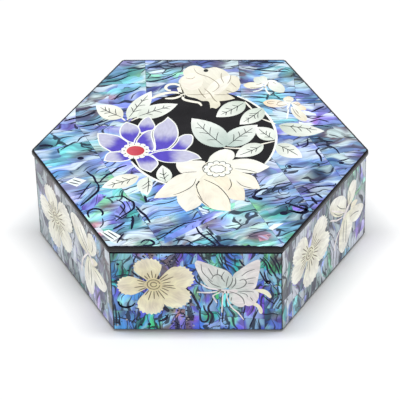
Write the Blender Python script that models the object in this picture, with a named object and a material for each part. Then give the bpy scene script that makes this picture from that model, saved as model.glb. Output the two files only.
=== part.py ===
"""A hexagonal lacquered box with a lift-off lid and flush sheets of shell on its lid and walls.

Metres, +Z up. The origin is at the middle of the underside. The hexagon's corners point along
+X and -X, and its flat faces look along +Y and -Y; the front face looks along -Y.
"""

import math

import bmesh
import bpy
from mathutils import Matrix, Vector

# Driving dimensions
LID_SIDE = 0.085
LID_THICKNESS = 0.0032
LID_CORNER_RADIUS = 0.0022
LID_ARRIS = 0.0009
TOTAL_HEIGHT = 0.0566
BODY_SIDE = 0.0836
BODY_CORNER_RADIUS = 0.0005
BODY_ARRIS = 0.0004
WALL = 0.006
FLOOR = 0.0045
BASE_HEIGHT = 0.001
BASE_SETBACK = 0.0025
NECK_HEIGHT = 0.0014
NECK_SETBACK = 0.0013
INNER_CORNER_RADIUS = 0.003
STEP_DEPTH = 0.003
STEP_PLAY = 0.0012
STEP_ARRIS = 0.0005
SHELL_THICKNESS = 0.0008
LID_BORDER = 0.0011
SIDE_BORDER = 0.0003
FOOT_BORDER = 0.0003
GAP = 0.0003
MITRE_GAP = 0.00035

# Sizes that follow from them
FLAT = math.cos(math.radians(30))
MITRE = math.tan(math.radians(30))
LID_UNDERSIDE = TOTAL_HEIGHT - LID_THICKNESS
BODY_TOP = LID_UNDERSIDE - GAP
WALL_TOP = BODY_TOP - NECK_HEIGHT
BODY_FLAT = BODY_SIDE * FLAT
LID_FLAT = LID_SIDE * FLAT
CAVITY_FLAT = BODY_FLAT - WALL
RECESS_DEPTH = SHELL_THICKNESS + GAP
RECESS_WIDTH = BODY_SIDE - 2 * SIDE_BORDER
RECESS_LOW = BASE_HEIGHT + FOOT_BORDER
OVERCUT = 0.0008
JOIN = 0.001

SIDES = {
    "front": -90,
    "front_right": -30,
    "back_right": 30,
    "back": 90,
    "back_left": 150,
    "front_left": -150,
}


def clear_scene():
    for old in list(bpy.data.objects):
        bpy.data.objects.remove(old, do_unlink=True)


def new_collection(name):
    collection = bpy.data.collections.new(name)
    bpy.context.scene.collection.children.link(collection)
    return collection


def finish(name, colour, roughness):
    material = bpy.data.materials.new(name)
    material.use_nodes = True
    shader = material.node_tree.nodes["Principled BSDF"]
    shader.inputs["Base Color"].default_value = (*colour, 1)
    shader.inputs["Roughness"].default_value = roughness
    shader.inputs["Metallic"].default_value = 0
    material.diffuse_color = (*colour, 1)
    return material


def place(name, mesh, collection, material=None):
    """Wraps a mesh in a named object, in its collection."""
    thing = bpy.data.objects.new(name, mesh)
    collection.objects.link(thing)
    if material:
        mesh.materials.append(material)
    return thing


def hexagon_board(name, flat, low, high, corner_radius, arris=0.0):
    """A hexagonal board between two heights; flat is the distance from its axis to each flat side.

    The six upright corners are rounded, and the top and bottom arrises are eased if arris is given."""
    form = bmesh.new()
    bmesh.ops.create_cone(
        form,
        cap_ends=True,
        segments=6,
        radius1=flat / FLAT,
        radius2=flat / FLAT,
        depth=high - low,
        matrix=Matrix.Translation((0, 0, (low + high) / 2)) @ Matrix.Rotation(math.radians(90), 4, "Z"),
    )
    upright = [e for e in form.edges if abs(e.verts[0].co.z - e.verts[1].co.z) > (high - low) / 2]
    # The offset is measured along each face from the corner, so it is the radius times tan(30).
    bmesh.ops.bevel(
        form,
        geom=upright,
        offset=corner_radius * math.tan(math.radians(30)),
        offset_type="OFFSET",
        segments=4,
        profile=0.5,
        affect="EDGES",
        material=-1,
    )
    if arris:
        level = [e for e in form.edges if abs(e.verts[0].co.z - e.verts[1].co.z) < 1e-6]
        bmesh.ops.bevel(
            form,
            geom=level,
            offset=arris,
            offset_type="OFFSET",
            segments=2,
            profile=0.5,
            affect="EDGES",
            material=-1,
        )
    bmesh.ops.recalc_face_normals(form, faces=form.faces)
    mesh = bpy.data.meshes.new(name)
    form.to_mesh(mesh)
    form.free()
    return mesh


def side_plate(name, depth_in, depth_out, half_width, low, high):
    """An upright plate on one wall, written for a wall that looks along +X.

    It reaches from depth_in to depth_out, both measured from the box's axis. Its ends are mitred, so
    plates on neighbouring walls keep one distance from each other at every depth."""
    form = bmesh.new()
    centre = Vector(((depth_in + depth_out) / 2, 0, (low + high) / 2))
    size = Matrix.Diagonal((depth_out - depth_in, 2 * half_width, high - low, 1))
    bmesh.ops.create_cube(form, size=1, matrix=Matrix.Translation(centre) @ size)
    for corner in form.verts:
        corner.co.y += (corner.co.x - BODY_FLAT) * MITRE * math.copysign(1, corner.co.y)
    mesh = bpy.data.meshes.new(name)
    form.to_mesh(mesh)
    form.free()
    return mesh


def combine(target, tool, operation):
    """A live Boolean on target; the tool is only a guide and stays out of the model."""
    modifier = target.modifiers.new(f"{operation.lower()} {tool.name}", "BOOLEAN")
    modifier.operation = operation
    modifier.solver = "EXACT"
    modifier.object = tool
    tool.hide_render = True
    tool.display_type = "WIRE"


def turn_to(thing, degrees):
    thing.rotation_euler = (0, 0, math.radians(degrees))


def make_body(parts, guides, lacquer):
    """The walls and floor in one piece, hollow from the top.

    It stands on a base that is set in a little, and a neck, set in too, carries the lid. Each wall has a
    shallow recess that is open at its top."""
    body = place("box_body", hexagon_board("box_body", BODY_FLAT, BASE_HEIGHT, WALL_TOP, BODY_CORNER_RADIUS,
                                           BODY_ARRIS), parts, lacquer)
    base = hexagon_board("base", BODY_FLAT - BASE_SETBACK, 0, BASE_HEIGHT + JOIN, INNER_CORNER_RADIUS)
    combine(body, place("base", base, guides), "UNION")
    neck = hexagon_board("neck", BODY_FLAT - NECK_SETBACK, WALL_TOP - JOIN, BODY_TOP, BODY_CORNER_RADIUS)
    combine(body, place("neck", neck, guides), "UNION")
    hollow = hexagon_board("hollow", CAVITY_FLAT, FLOOR, BODY_TOP + OVERCUT, INNER_CORNER_RADIUS)
    combine(body, place("hollow", hollow, guides), "DIFFERENCE")
    for side, degrees in SIDES.items():
        name = f"recess_{side}"
        cutter = side_plate(name, BODY_FLAT - RECESS_DEPTH, BODY_FLAT + OVERCUT, RECESS_WIDTH / 2,
                            RECESS_LOW, WALL_TOP + OVERCUT)
        recess = place(name, cutter, guides)
        turn_to(recess, degrees)
        combine(body, recess, "DIFFERENCE")
    return body


def make_lid(parts, guides, lacquer):
    """The lid board with the step that finds its place between the walls, in one piece."""
    lid = place("lid", hexagon_board("lid", LID_FLAT, LID_UNDERSIDE, TOTAL_HEIGHT, LID_CORNER_RADIUS, LID_ARRIS),
                parts, lacquer)
    step = hexagon_board("step", CAVITY_FLAT - STEP_PLAY, LID_UNDERSIDE - STEP_DEPTH, LID_UNDERSIDE + JOIN,
                         INNER_CORNER_RADIUS, STEP_ARRIS)
    combine(lid, place("step", step, guides), "UNION")
    recess = hexagon_board("recess_lid", LID_FLAT - LID_BORDER, TOTAL_HEIGHT - RECESS_DEPTH,
                           TOTAL_HEIGHT + OVERCUT, LID_CORNER_RADIUS - LID_BORDER)
    combine(lid, place("recess_lid", recess, guides), "DIFFERENCE")
    return lid


def make_lid_shell(parts, shell):
    """The sheet of shell in the lid's top, flush with the lacquer round it."""
    sheet = hexagon_board("lid_shell_panel", LID_FLAT - LID_BORDER - GAP, TOTAL_HEIGHT - SHELL_THICKNESS,
                          TOTAL_HEIGHT, LID_CORNER_RADIUS - LID_BORDER - GAP)
    return place("lid_shell_panel", sheet, parts, shell)


def make_side_shells(parts, shell):
    """One sheet of shell for each wall, flush with the lacquer round it."""
    for side, degrees in SIDES.items():
        name = f"side_shell_panel_{side}"
        sheet = side_plate(name, BODY_FLAT - SHELL_THICKNESS, BODY_FLAT, RECESS_WIDTH / 2 - MITRE_GAP,
                           RECESS_LOW + GAP, WALL_TOP)
        turn_to(place(name, sheet, parts, shell), degrees)


def main():
    clear_scene()
    parts = new_collection("hexagonal_box")
    guides = new_collection("cutters")
    lacquer = finish("black_lacquer", (0.02, 0.02, 0.022), 0.2)
    shell = finish("abalone_shell", (0.42, 0.55, 0.66), 0.25)
    make_body(parts, guides, lacquer)
    make_lid(parts, guides, lacquer)
    make_lid_shell(parts, shell)
    make_side_shells(parts, shell)


main()
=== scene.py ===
# %% [markdown]
# # A hexagonal lacquer box with shell inlay
#
# The real box is built from thin boards, lacquered black. A sheet of blue-green shell pieces is laid flush
# into the lid and into each wall, and cream and violet shell figures are let into those sheets.
# The boards come from the measured model, so this lesson only makes what is laid into them.

import math
import random

import bmesh
import bpy
from mathutils import Matrix, Vector, noise


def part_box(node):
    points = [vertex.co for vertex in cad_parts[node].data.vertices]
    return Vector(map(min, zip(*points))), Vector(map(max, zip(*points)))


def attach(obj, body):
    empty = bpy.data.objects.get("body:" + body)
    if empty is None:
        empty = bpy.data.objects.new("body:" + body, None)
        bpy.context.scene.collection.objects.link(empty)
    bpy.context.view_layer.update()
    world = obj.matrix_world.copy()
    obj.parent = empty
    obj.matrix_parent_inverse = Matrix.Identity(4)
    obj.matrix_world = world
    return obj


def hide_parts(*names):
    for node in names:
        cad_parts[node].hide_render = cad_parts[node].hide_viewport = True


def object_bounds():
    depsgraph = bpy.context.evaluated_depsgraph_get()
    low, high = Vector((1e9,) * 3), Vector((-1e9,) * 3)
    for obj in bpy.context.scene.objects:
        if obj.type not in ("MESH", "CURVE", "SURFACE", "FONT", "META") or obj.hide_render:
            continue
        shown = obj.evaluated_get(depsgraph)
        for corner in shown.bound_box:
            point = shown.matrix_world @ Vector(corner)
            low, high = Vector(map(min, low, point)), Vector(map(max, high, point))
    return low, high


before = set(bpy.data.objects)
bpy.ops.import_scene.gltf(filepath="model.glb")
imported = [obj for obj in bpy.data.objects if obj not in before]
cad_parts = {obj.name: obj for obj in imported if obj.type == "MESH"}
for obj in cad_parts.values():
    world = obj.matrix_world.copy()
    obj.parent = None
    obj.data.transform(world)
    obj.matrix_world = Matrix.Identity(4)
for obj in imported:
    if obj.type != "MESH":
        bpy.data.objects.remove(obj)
measured_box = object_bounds()
print("Measured nodes:", ", ".join(sorted(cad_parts)))

# %% [markdown]
# ## The camera
#
# A long lens far away keeps the hexagon's edges nearly parallel, as in a product photograph. The camera
# could be placed by eye, but a hexagon shows the smallest error at its corners. So its angles, distance
# and aim are numbers that were fitted to the corners of the lid and the body. It aims a little in front of
# the lid's centre.

# %% Camera
MM = 0.001
LID_SIDE = 85 * MM
AZIMUTH, ELEVATION, ROLL = (math.radians(a) for a in (2.8368, 41.0416, -1.7897))
DISTANCE = 16.3683 * LID_SIDE
LENS = 249.5
SENSOR = 36
SEES_TO = 20
AIM = (0.002 * LID_SIDE, -0.2966 * LID_SIDE)


def place_camera(centre):
    back = Vector((math.sin(AZIMUTH) * math.cos(ELEVATION),
                   -math.cos(AZIMUTH) * math.cos(ELEVATION), math.sin(ELEVATION)))
    level = (-back).cross(Vector((0, 0, 1))).normalized()
    upright = level.cross(-back)
    right = math.cos(ROLL) * level + math.sin(ROLL) * upright
    up = -math.sin(ROLL) * level + math.cos(ROLL) * upright
    camera = bpy.data.objects.new("camera", bpy.data.cameras.new("camera"))
    camera.data.lens = LENS
    camera.data.sensor_width = SENSOR
    camera.data.clip_end = SEES_TO
    turn = Matrix((right, up, back)).transposed().to_4x4()
    camera.matrix_world = Matrix.Translation(centre + right * AIM[0] + up * AIM[1] + back * DISTANCE) @ turn
    bpy.context.scene.collection.objects.link(camera)
    bpy.context.scene.camera = camera


lid_top = measured_box[1].z
place_camera(Vector((0, 0, lid_top)))
print(f"The camera stands {DISTANCE:.2f} m from the lid")

# %% [markdown]
# ## The light
#
# The box stands on a pale floor in soft daylight from all round. Several lamps could light it, but each
# would leave a shadow and a glint of its own. So the room itself glows, bright low down and dim above, and
# one long lamp overhead draws the soft shadow round the box. The lamp isn't mirrored in the lacquer, whose
# edges stay dark.

# %% The room and its lamp
ROOM_TINT = (0.97, 0.98, 1.0, 1)
ROOM_BRIGHT, ROOM_DIM = 0.95, 0.30
BRIGHT_TO, DIM_FROM = 0.40, 0.62
LAMP_LENGTH, LAMP_WIDTH = 0.75, 0.14
LAMP_POWER = 12.0
LAMP_PLACE = (0, -0.03, 1.3)


def light_room():
    world = bpy.data.worlds.new("room")
    world.use_nodes = True
    tree = world.node_tree
    backdrop = tree.nodes["Background"]
    backdrop.inputs["Color"].default_value = ROOM_TINT
    bearing = tree.nodes.new("ShaderNodeTexCoord")
    parts = tree.nodes.new("ShaderNodeSeparateXYZ")
    ramp = tree.nodes.new("ShaderNodeMapRange")
    tree.links.new(bearing.outputs["Generated"], parts.inputs[0])
    tree.links.new(parts.outputs["Z"], ramp.inputs["Value"])
    for key, value in (("From Min", BRIGHT_TO), ("From Max", DIM_FROM),
                       ("To Min", ROOM_BRIGHT), ("To Max", ROOM_DIM)):
        ramp.inputs[key].default_value = value
    tree.links.new(ramp.outputs[0], backdrop.inputs["Strength"])
    bpy.context.scene.world = world


def hang_lamp():
    lamp = bpy.data.lights.new("softbox", "AREA")
    lamp.shape = "RECTANGLE"
    lamp.size, lamp.size_y = LAMP_LENGTH, LAMP_WIDTH
    lamp.energy = LAMP_POWER
    softbox = bpy.data.objects.new("softbox", lamp)
    softbox.location = LAMP_PLACE
    softbox.visible_glossy = False
    bpy.context.scene.collection.objects.link(softbox)


light_room()
hang_lamp()
bpy.context.scene.view_settings.view_transform = "Standard"
print(f"The lamp hangs {LAMP_PLACE[2]} m above the floor")

# %% The floor
FLOOR_SIZE = 6
FLOOR_WHITE = 0.95
FLOOR_ROUGHNESS = 0.9


def lay_floor():
    form = bmesh.new()
    bmesh.ops.create_grid(form, x_segments=1, y_segments=1, size=FLOOR_SIZE / 2)
    mesh = bpy.data.meshes.new("floor")
    form.to_mesh(mesh)
    form.free()
    floor = bpy.data.objects.new("floor", mesh)
    bpy.context.scene.collection.objects.link(floor)
    paint = bpy.data.materials.new("floor_white")
    paint.use_nodes = True
    shader = paint.node_tree.nodes["Principled BSDF"]
    shader.inputs["Base Color"].default_value = (FLOOR_WHITE, FLOOR_WHITE, FLOOR_WHITE, 1)
    shader.inputs["Roughness"].default_value = FLOOR_ROUGHNESS
    mesh.materials.append(paint)


lay_floor()
print(f"The floor is {FLOOR_SIZE} m wide")

# %% [markdown]
# ## Finishes as sums
#
# A finish is a few measured fields, such as streaks and veins, added and multiplied. Its nodes could be
# wired one by one, but then nobody can read the sum. Here a small class lets a node's socket stand in a
# Python expression, and the expression wires the nodes.

# %% Sockets in expressions
class Value:
    """A node's output. A sum, difference or product of Values adds the Math node that works it out."""

    def __init__(self, recipe, socket):
        self.recipe = recipe
        self.socket = socket

    def maths(self, operation, *terms):
        return self.recipe.node("ShaderNodeMath", {"operation": operation}, dict(enumerate(terms)))

    def __add__(self, other):
        return self.maths("ADD", self, other)

    __radd__ = __add__

    def __sub__(self, other):
        return self.maths("SUBTRACT", self, other)

    def __rsub__(self, other):
        return self.maths("SUBTRACT", other, self)

    def __mul__(self, other):
        return self.maths("MULTIPLY", self, other)

    __rmul__ = __mul__

    def __abs__(self):
        return self.maths("ABSOLUTE", self)

    def fraction(self):
        return self.maths("FRACT", self)

    def step(self, low, high):
        """0 below low and 1 above high, with a smooth rise between them."""
        settings = {"interpolation_type": "SMOOTHSTEP"}
        sockets = {"Value": self, "From Min": low, "From Max": high}
        return self.recipe.node("ShaderNodeMapRange", settings, sockets)


print("A Value takes +, -, *, abs(), fraction() and step()")


# %% Recipes
class Recipe:
    """A material being mixed: node() adds any node from its type, its settings and its sockets."""

    def __init__(self, name):
        self.material = bpy.data.materials.new(name)
        self.material.use_nodes = True
        self.tree = self.material.node_tree
        self.shader = self.tree.nodes["Principled BSDF"]

    def node(self, kind, settings=None, sockets=None, out=0):
        made = self.tree.nodes.new(kind)
        for key, value in (settings or {}).items():
            setattr(made, key, value)
        for key, value in (sockets or {}).items():
            self.feed(made.inputs[key], value)
        return Value(self, made.outputs[out])

    def feed(self, socket, value):
        if isinstance(value, Value):
            self.tree.links.new(value.socket, socket)
        else:
            socket.default_value = value

    def set(self, **sockets):
        """Sets the shader's sockets: base_color feeds Base Color."""
        for key, value in sockets.items():
            self.feed(self.shader.inputs[key.replace("_", " ").title().replace("Ior", "IOR")], value)
        return self.material

    def noise(self, x, y, detail):
        place = self.node("ShaderNodeCombineXYZ", None, {"X": x, "Y": y})
        sockets = {"Vector": place, "Scale": 1.0, "Detail": detail, "Roughness": 0.5}
        return self.node("ShaderNodeTexNoise", {"noise_dimensions": "2D"}, sockets)

    def facets(self, x, y):
        """Patches with sharp edges: two numbers of their own from 0 to 1, and how far away the edge is."""
        place = self.node("ShaderNodeCombineXYZ", None, {"X": x, "Y": y})
        sockets = {"Vector": place, "Scale": 1.0}
        colour = self.node("ShaderNodeTexVoronoi", {"voronoi_dimensions": "2D"}, sockets, "Color")
        settings = {"voronoi_dimensions": "2D", "feature": "DISTANCE_TO_EDGE"}
        return (self.node("ShaderNodeSeparateColor", None, {"Color": colour}, "Red"),
                self.node("ShaderNodeSeparateColor", None, {"Color": colour}, "Green"),
                self.node("ShaderNodeTexVoronoi", settings, sockets, "Distance"))

    def mix(self, factor, first, second, blend="MIX"):
        settings = {"data_type": "RGBA", "blend_type": blend}
        return self.node("ShaderNodeMix", settings, {0: factor, 6: first, 7: second}, 2)

    def toned(self, **sockets):
        """A colour with its Hue, Saturation or Value changed."""
        return self.node("ShaderNodeHueSaturation", None, {"Fac": 1.0, **sockets})

    def grain(self):
        """The piece's own coordinates in millimetres: along its grain, and across it."""
        uv = self.node("ShaderNodeUVMap", {"uv_map": "grain"})
        return (self.node("ShaderNodeSeparateXYZ", None, {0: uv}, "X"),
                self.node("ShaderNodeSeparateXYZ", None, {0: uv}, "Y"))

    def tint(self):
        return self.node("ShaderNodeAttribute", {"attribute_name": "tint"}, None, "Color")

    def bump(self, height, distance, strength):
        sockets = {"Height": height, "Distance": distance, "Strength": strength}
        return self.node("ShaderNodeBump", None, sockets)


def srgb(red, green, blue):
    """A colour as it looks on screen, 0 to 255, in the linear light that the shader mixes."""
    shares = (red / 255, green / 255, blue / 255)
    return tuple(((c + 0.055) / 1.055) ** 2.4 if c > 0.04045 else c / 12.92 for c in shares)


print("A recipe can add:", ", ".join(word for word in vars(Recipe) if word[0] != "_"))

# %% [markdown]
# ## Abalone shell
#
# Abalone grows in wavy layers. Its colour shifts from layer to layer, dark growth lines run between them,
# and here and there it breaks into facets with a dark outline. A photograph of shell could be wrapped round
# the box, but it would stretch and repeat. So noise that is drawn out along the grain makes the layers, a
# pattern of cells makes the facets, and each piece of shell brings a broad tint of its own.

# %% Growth lines and facets
LINE_SETS = ((5.4, 0.44, 50.0), (3.3, 0.26, 130.0))


def facet_outlines(r, along, across, rim, ink, outlined):
    """Dark outlines round some of the facets. rim is how far away a facet's edge is."""
    mask = r.noise(along * 0.05 + 77.0, across * 0.06, 1.0)
    return (1 - (rim - (mask - 0.38) * 0.09 * ink).step(0.0, 0.03)) * (mask + outlined).step(0.98, 1.04)


def growth_lines(r, along, across, layer, veins, ink, sparse):
    """Adds growth lines to the veins, and gives the shading that rises from one line to the next.

    Each set of lines has a pitch and a thickness in millimetres, and a place in the noise."""
    shade = 0.0
    for pitch, thick, shift in LINE_SETS:
        count = layer * (1 / pitch) + (r.noise(along * 0.04 + shift, layer * 0.09, 1.0) - 0.5) * 1.4
        where = r.noise(along * 0.055 + shift * 2, across * 0.10, 1.0) - sparse
        width = where.step(0.46, 0.68) * (thick * ink / pitch)
        edge = abs(count.fraction() - 0.5)
        veins = (1 - (edge - width).step(0.0, 0.12 / pitch)) * where.step(0.48, 0.53) + veins
        shade = ((count + 0.5).fraction() - 0.5) * 0.26 + shade
    return veins, shade


print("Growth lines every", " and ".join(f"{pitch} mm" for pitch, thick, shift in LINE_SETS))

# %% Abalone
SHINE = 0.30
INKED = 0.9
VEIN = srgb(24, 30, 50)
DEEP_TINT, DUSK_TINT = (0.24, 0.22, 0.26, 1), (0.50, 0.46, 0.54, 1)


def abalone(name, shades, swirl, ink=1.0, lively=1.0, light=0.8, outlined=0.4, busy=1.0, coarse=1.0,
            soft=0.0, sparse=0.0):
    """shades are its deep, dusky, bright and fresh colours. swirl is how far its layers curl, in
    millimetres, and ink is how wide its growth lines are. lively and light are how strong and how bright
    its colours are. Its facets are coarse or fine, more or less outlined, and busy is how much they differ
    from the tint. soft blurs the changes of colour, and sparse leaves out some of the growth lines."""
    deep, dusk, bright, fresh = shades
    r = Recipe(name)
    along, across = r.grain()
    sway = r.noise(along * 0.035, across * 0.05, 1.0)
    curl = r.noise(along * 0.055 + 7.3, across * 0.075, 1.5)
    layer = across + (sway - 0.5) * 12 + (curl - 0.5) * swirl
    plot = r.noise(along * 0.016 + 3.0, across * 0.016, 0.0)
    broad = r.noise(along * 0.055 + 20.0, layer * 0.11, 1.5)
    streak = r.noise(along * 0.075, layer * 0.20 + 11.0, 1.5)
    fine = r.noise(along * 0.20, layer * 0.75, 1.5)
    bend = r.noise(along * 0.13 + 31.0, across * 0.16, 2.0) - 0.5
    face, twin, rim = r.facets((along + bend * 4.5) * (0.105 / coarse),
                               (layer + bend * 4) * (0.185 / coarse))
    tint = r.tint()
    deep = r.mix(0.5, (*deep, 1), r.mix(1.0, tint, DEEP_TINT, "MULTIPLY"))
    dusk = r.mix(0.5, (*dusk, 1), r.mix(1.0, tint, DUSK_TINT, "MULTIPLY"))
    deeper = 1 - (broad + face * 0.16).step(0.42 - soft, 0.52 + soft)
    fresher = (streak + twin * 0.24).step(0.62 - soft, 0.72 + soft)
    duskier = 1 - (streak + face * 0.20).step(0.46 - soft, 0.54 + soft)
    brighter = (broad + twin * 0.20).step(0.64 - soft, 0.74 + soft)
    colour = r.mix(deeper * (0.55 * busy), tint, deep)
    colour = r.mix(fresher * (0.60 * busy), colour, (*fresh, 1))
    colour = r.mix(duskier * (0.55 * busy), colour, dusk)
    colour = r.mix(brighter * (0.75 * busy), colour, (*bright, 1))
    outlines = facet_outlines(r, along, across, rim, ink, outlined)
    veins, shade = growth_lines(r, along, across, layer, outlines, ink, sparse)
    vein = veins.step(0.0, 1.0)
    value = light + shade + (fine - 0.5) * 0.16 + (plot - 0.5) * 0.7 + (face - 0.5) * 0.30 + rim * 0.25
    hue = 0.5 + (plot - 0.5) * 0.10 + (twin - 0.5) * 0.07
    shaded = r.toned(Hue=hue, Saturation=lively, Value=value, Color=colour)
    rough = 0.20 + (broad - 0.5) * 0.2 + vein * 0.15
    inked = r.mix(vein * INKED, shaded, (*VEIN, 1))
    return r.set(base_color=inked, roughness=rough, specular_ior_level=SHINE)


print(f"A growth line is {INKED:.0%} ink")

# %% Four kinds of abalone
LID_SHADES = (srgb(56, 66, 104), srgb(88, 96, 148), srgb(214, 236, 240), srgb(138, 184, 236))
WALL_SHADES = (srgb(40, 46, 60), srgb(74, 82, 108), srgb(150, 196, 214), srgb(104, 132, 216))
GREY_SHADES = (srgb(72, 77, 86), srgb(104, 108, 118), srgb(190, 200, 208), srgb(150, 172, 176))
SHELL = abalone("abalone_shell", LID_SHADES, 6, lively=0.95, light=1.02, outlined=0.42, soft=0.03)
CURLED_SHELL = abalone("abalone_shell_curled", LID_SHADES, 11, ink=1.2, light=0.98, outlined=0.44,
                       busy=0.95, coarse=1.5, soft=0.06, sparse=0.05)
WALL_SHELL = abalone("abalone_shell_deep", WALL_SHADES, 12, ink=1.8, lively=1.08, light=1.16, outlined=0.60,
                     busy=1.1)
GREY_SHELL = abalone("abalone_shell_grey", GREY_SHADES, 6, ink=1.1, lively=0.85, light=1.03, busy=1.55)
print("Four kinds of abalone, each of", len(SHELL.node_tree.nodes), "nodes")

# %% [markdown]
# ## Mother of pearl and dyed shell
#
# Mother of pearl is the same thing, but pale and calm. A plain cream would look like paper, so it keeps a
# faint cloud and fine streaks. The violet petals are such shell soaked in dye. They could be cut from two
# colours, but the dye fades evenly towards a petal's tip. So there the tint says how far it has faded.

# %% Mother of pearl
def pearl(name, cloudiness):
    r = Recipe(name)
    along, across = r.grain()
    sway = r.noise(along * 0.09, across * 0.11, 2.0)
    layer = across + (sway - 0.5) * 7
    cloud = r.noise(along * 0.10 + 5.0, layer * 0.16, 3.0)
    streak = r.noise(along * 0.12, layer * 0.9, 2.0)
    value = 1 + (cloud - 0.5) * cloudiness + (streak - 0.5) * cloudiness * 0.6
    hue = 0.5 + (cloud - 0.5) * cloudiness * 0.10
    colour = r.toned(Hue=hue, Saturation=1.0, Value=value, Color=r.tint())
    return r.set(base_color=colour, roughness=0.20 + (streak - 0.5) * 0.12, specular_ior_level=SHINE)


PEARL = pearl("mother_of_pearl", 0.30)
GOLD_PEARL = pearl("mother_of_pearl_gold", 0.58)
RED = pearl("red_shell", 0.2)
LINE = pearl("engraved_line", 0.2)
print("Mother of pearl mixed, plain and golden")


# %% Dyed shell
def dyed(name, strong, faded):
    """Dyed shell. The brightness of its tint, from 0 to 1, is how far the dye has faded."""
    r = Recipe(name)
    along, across = r.grain()
    cloud = r.noise(along * 0.13, across * 0.26, 2.5)
    share = (r.tint() + (cloud - 0.5) * 0.55).step(0.12, 0.92)
    colour = r.mix(share, (*strong, 1), (*faded, 1))
    value = 1 + (r.noise(along * 0.3, across * 0.8 + 9.0, 2.0) - 0.5) * 0.35
    toned = r.toned(Value=value, Color=colour)
    return r.set(base_color=toned, roughness=0.2 + cloud * 0.1, specular_ior_level=SHINE)


VIOLET = dyed("violet_shell", srgb(90, 77, 190), srgb(195, 195, 218))
print("Violet shell dyed")

# %% [markdown]
# ## Lacquer
#
# Black lacquer is glossy, with a faint ripple from the brush, smears and a little dust. A flat black would
# hide the box's edges. So the smears change its tone and gloss, and a fine bump makes the ripple. The same
# recipe, a little bluer, is the glue in the joints.

# %% Lacquer
GLOSS = 0.38
HAZE = srgb(74, 72, 78)


def lacquer(name, black, haze):
    r = Recipe(name)
    place = r.node("ShaderNodeTexCoord", None, None, "Object")
    sockets = {"Vector": place, "Scale": 90.0, "Detail": 3.0, "Roughness": 0.6}
    smear = r.node("ShaderNodeTexNoise", None, sockets)
    ripple = r.node("ShaderNodeTexNoise", None, {**sockets, "Scale": 420.0, "Detail": 1.0})
    dust = r.node("ShaderNodeTexNoise", None, {**sockets, "Scale": 2600.0, "Detail": 1.0}).step(0.70, 0.78)
    tone = r.mix(smear * 0.2 + dust * haze, (*black, 1), (*HAZE, 1))
    normal = r.bump(ripple, 0.00004, 0.5)
    return r.set(base_color=tone, roughness=0.14 + smear * 0.14, specular_ior_level=GLOSS, normal=normal)


BLACK = lacquer("black_lacquer", srgb(14, 13, 15), 0.3)
SEAM = lacquer("glue_seam", srgb(40, 44, 62), 0.2)
print("Finishes mixed:", ", ".join(m.name for m in bpy.data.materials if m.use_nodes))

# %% [markdown]
# ## Faces to work on
#
# Every inlay is drawn flat, in millimetres, as seen from straight above its own face: x to the right, y up
# the face and z out of it. It could be drawn in the box's own axes, but then each wall needs other sums.
# Here one matrix carries a drawing to the lid or to a wall, so one leaf or flower fits any face.

# %% Where each face lies
WALLS = {"front": -90, "front_right": -30, "back_right": 30, "back": 90, "back_left": 150,
         "front_left": -150}
lid_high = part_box("lid_shell_panel")[1]
wall_low, wall_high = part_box("side_shell_panel_front")
LID_FLAT = lid_high.y / MM
WALL_FLAT = -wall_low.y
WALL_HALF = wall_high.x / MM
FOOT = 2.1
WALL_LOW, WALL_HIGH = wall_low.z / MM - FOOT, wall_high.z / MM - FOOT
ON_LID = Matrix.Translation((0, 0, lid_high.z)) @ Matrix.Scale(MM, 4)


def unit(degrees):
    return Vector((math.cos(math.radians(degrees)), math.sin(math.radians(degrees))))


def wall_face(degrees):
    """The drawings of the walls start at their foot, a little above the floor."""
    out = unit(degrees).to_3d()
    right = Vector((-out.y, out.x, 0))
    turn = Matrix((right, Vector((0, 0, 1)), out)).transposed().to_4x4()
    foot = out * WALL_FLAT + Vector((0, 0, FOOT * MM))
    return Matrix.Translation(foot) @ turn @ Matrix.Scale(MM, 4)


print(f"Lid sheet {2 * LID_FLAT:.1f} mm across its flats, wall sheets {2 * WALL_HALF:.1f} mm wide")

# %% [markdown]
# ## Cutting an inlay
#
# A shell cutter saws a figure from a thin plate and drops it into a pocket. The pockets could be cut from
# the sheet, but under a flush figure they never show. So here an outline becomes one face, and that face is
# pushed down to make a thin closed plate. The plates of each kind of figure end at a level of their own,
# hundredths of a millimetre apart, so the upper ones cover the lower ones. Plates of one kind that overlap
# are a few lifts of a thousandth apart. Each plate remembers its grain, as a UV map in millimetres, and
# its tint.

# %% Tools for plates
LEVEL = {"sheet": -0.110, "growth": -0.100, "field": -0.085, "vine": -0.075, "leaf": -0.062,
         "petal": -0.048, "inner": -0.026, "line": -0.008}
LIFT = 0.001


def bisect(form, faces, point, normal, clear=False):
    """Cuts these faces along a line and gives back what they became. With clear, what lies beyond goes."""
    edges = dict.fromkeys(edge for face in faces for edge in face.edges)
    corners = dict.fromkeys(corner for face in faces for corner in face.verts)
    cut = bmesh.ops.bisect_plane(form, geom=[*edges, *corners, *faces], dist=1e-5, plane_co=(*point, 0),
                                 plane_no=(*normal, 0), clear_outer=clear)
    return [part for part in cut["geom"] if isinstance(part, bmesh.types.BMFace)]


def push_down(form, faces, depth):
    """Turns faces into a closed plate. Gives back its lower corners."""
    raised = bmesh.ops.extrude_face_region(form, geom=faces)["geom"]
    lower = [v for v in raised if isinstance(v, bmesh.types.BMVert)]
    bmesh.ops.translate(form, verts=lower, vec=(0, 0, -depth))
    return lower


def make_piece(name, form, face, materials, replaces=()):
    """Turns a drawing into a piece of the box, in its place on a face."""
    form.transform(face)
    mesh = bpy.data.meshes.new(name)
    form.to_mesh(mesh)
    form.free()
    for material in materials:
        mesh.materials.append(material)
    piece = bpy.data.objects.new(name, mesh)
    bpy.context.scene.collection.objects.link(piece)
    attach(piece, "root")
    if replaces:
        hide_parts(*replaces)


print(f"The figures lie within {-LEVEL['sheet']} mm of the surface")

# %% A piece of inlay
PLATE = 0.3
BANDS = 4
SHORTEST = 0.01


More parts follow.
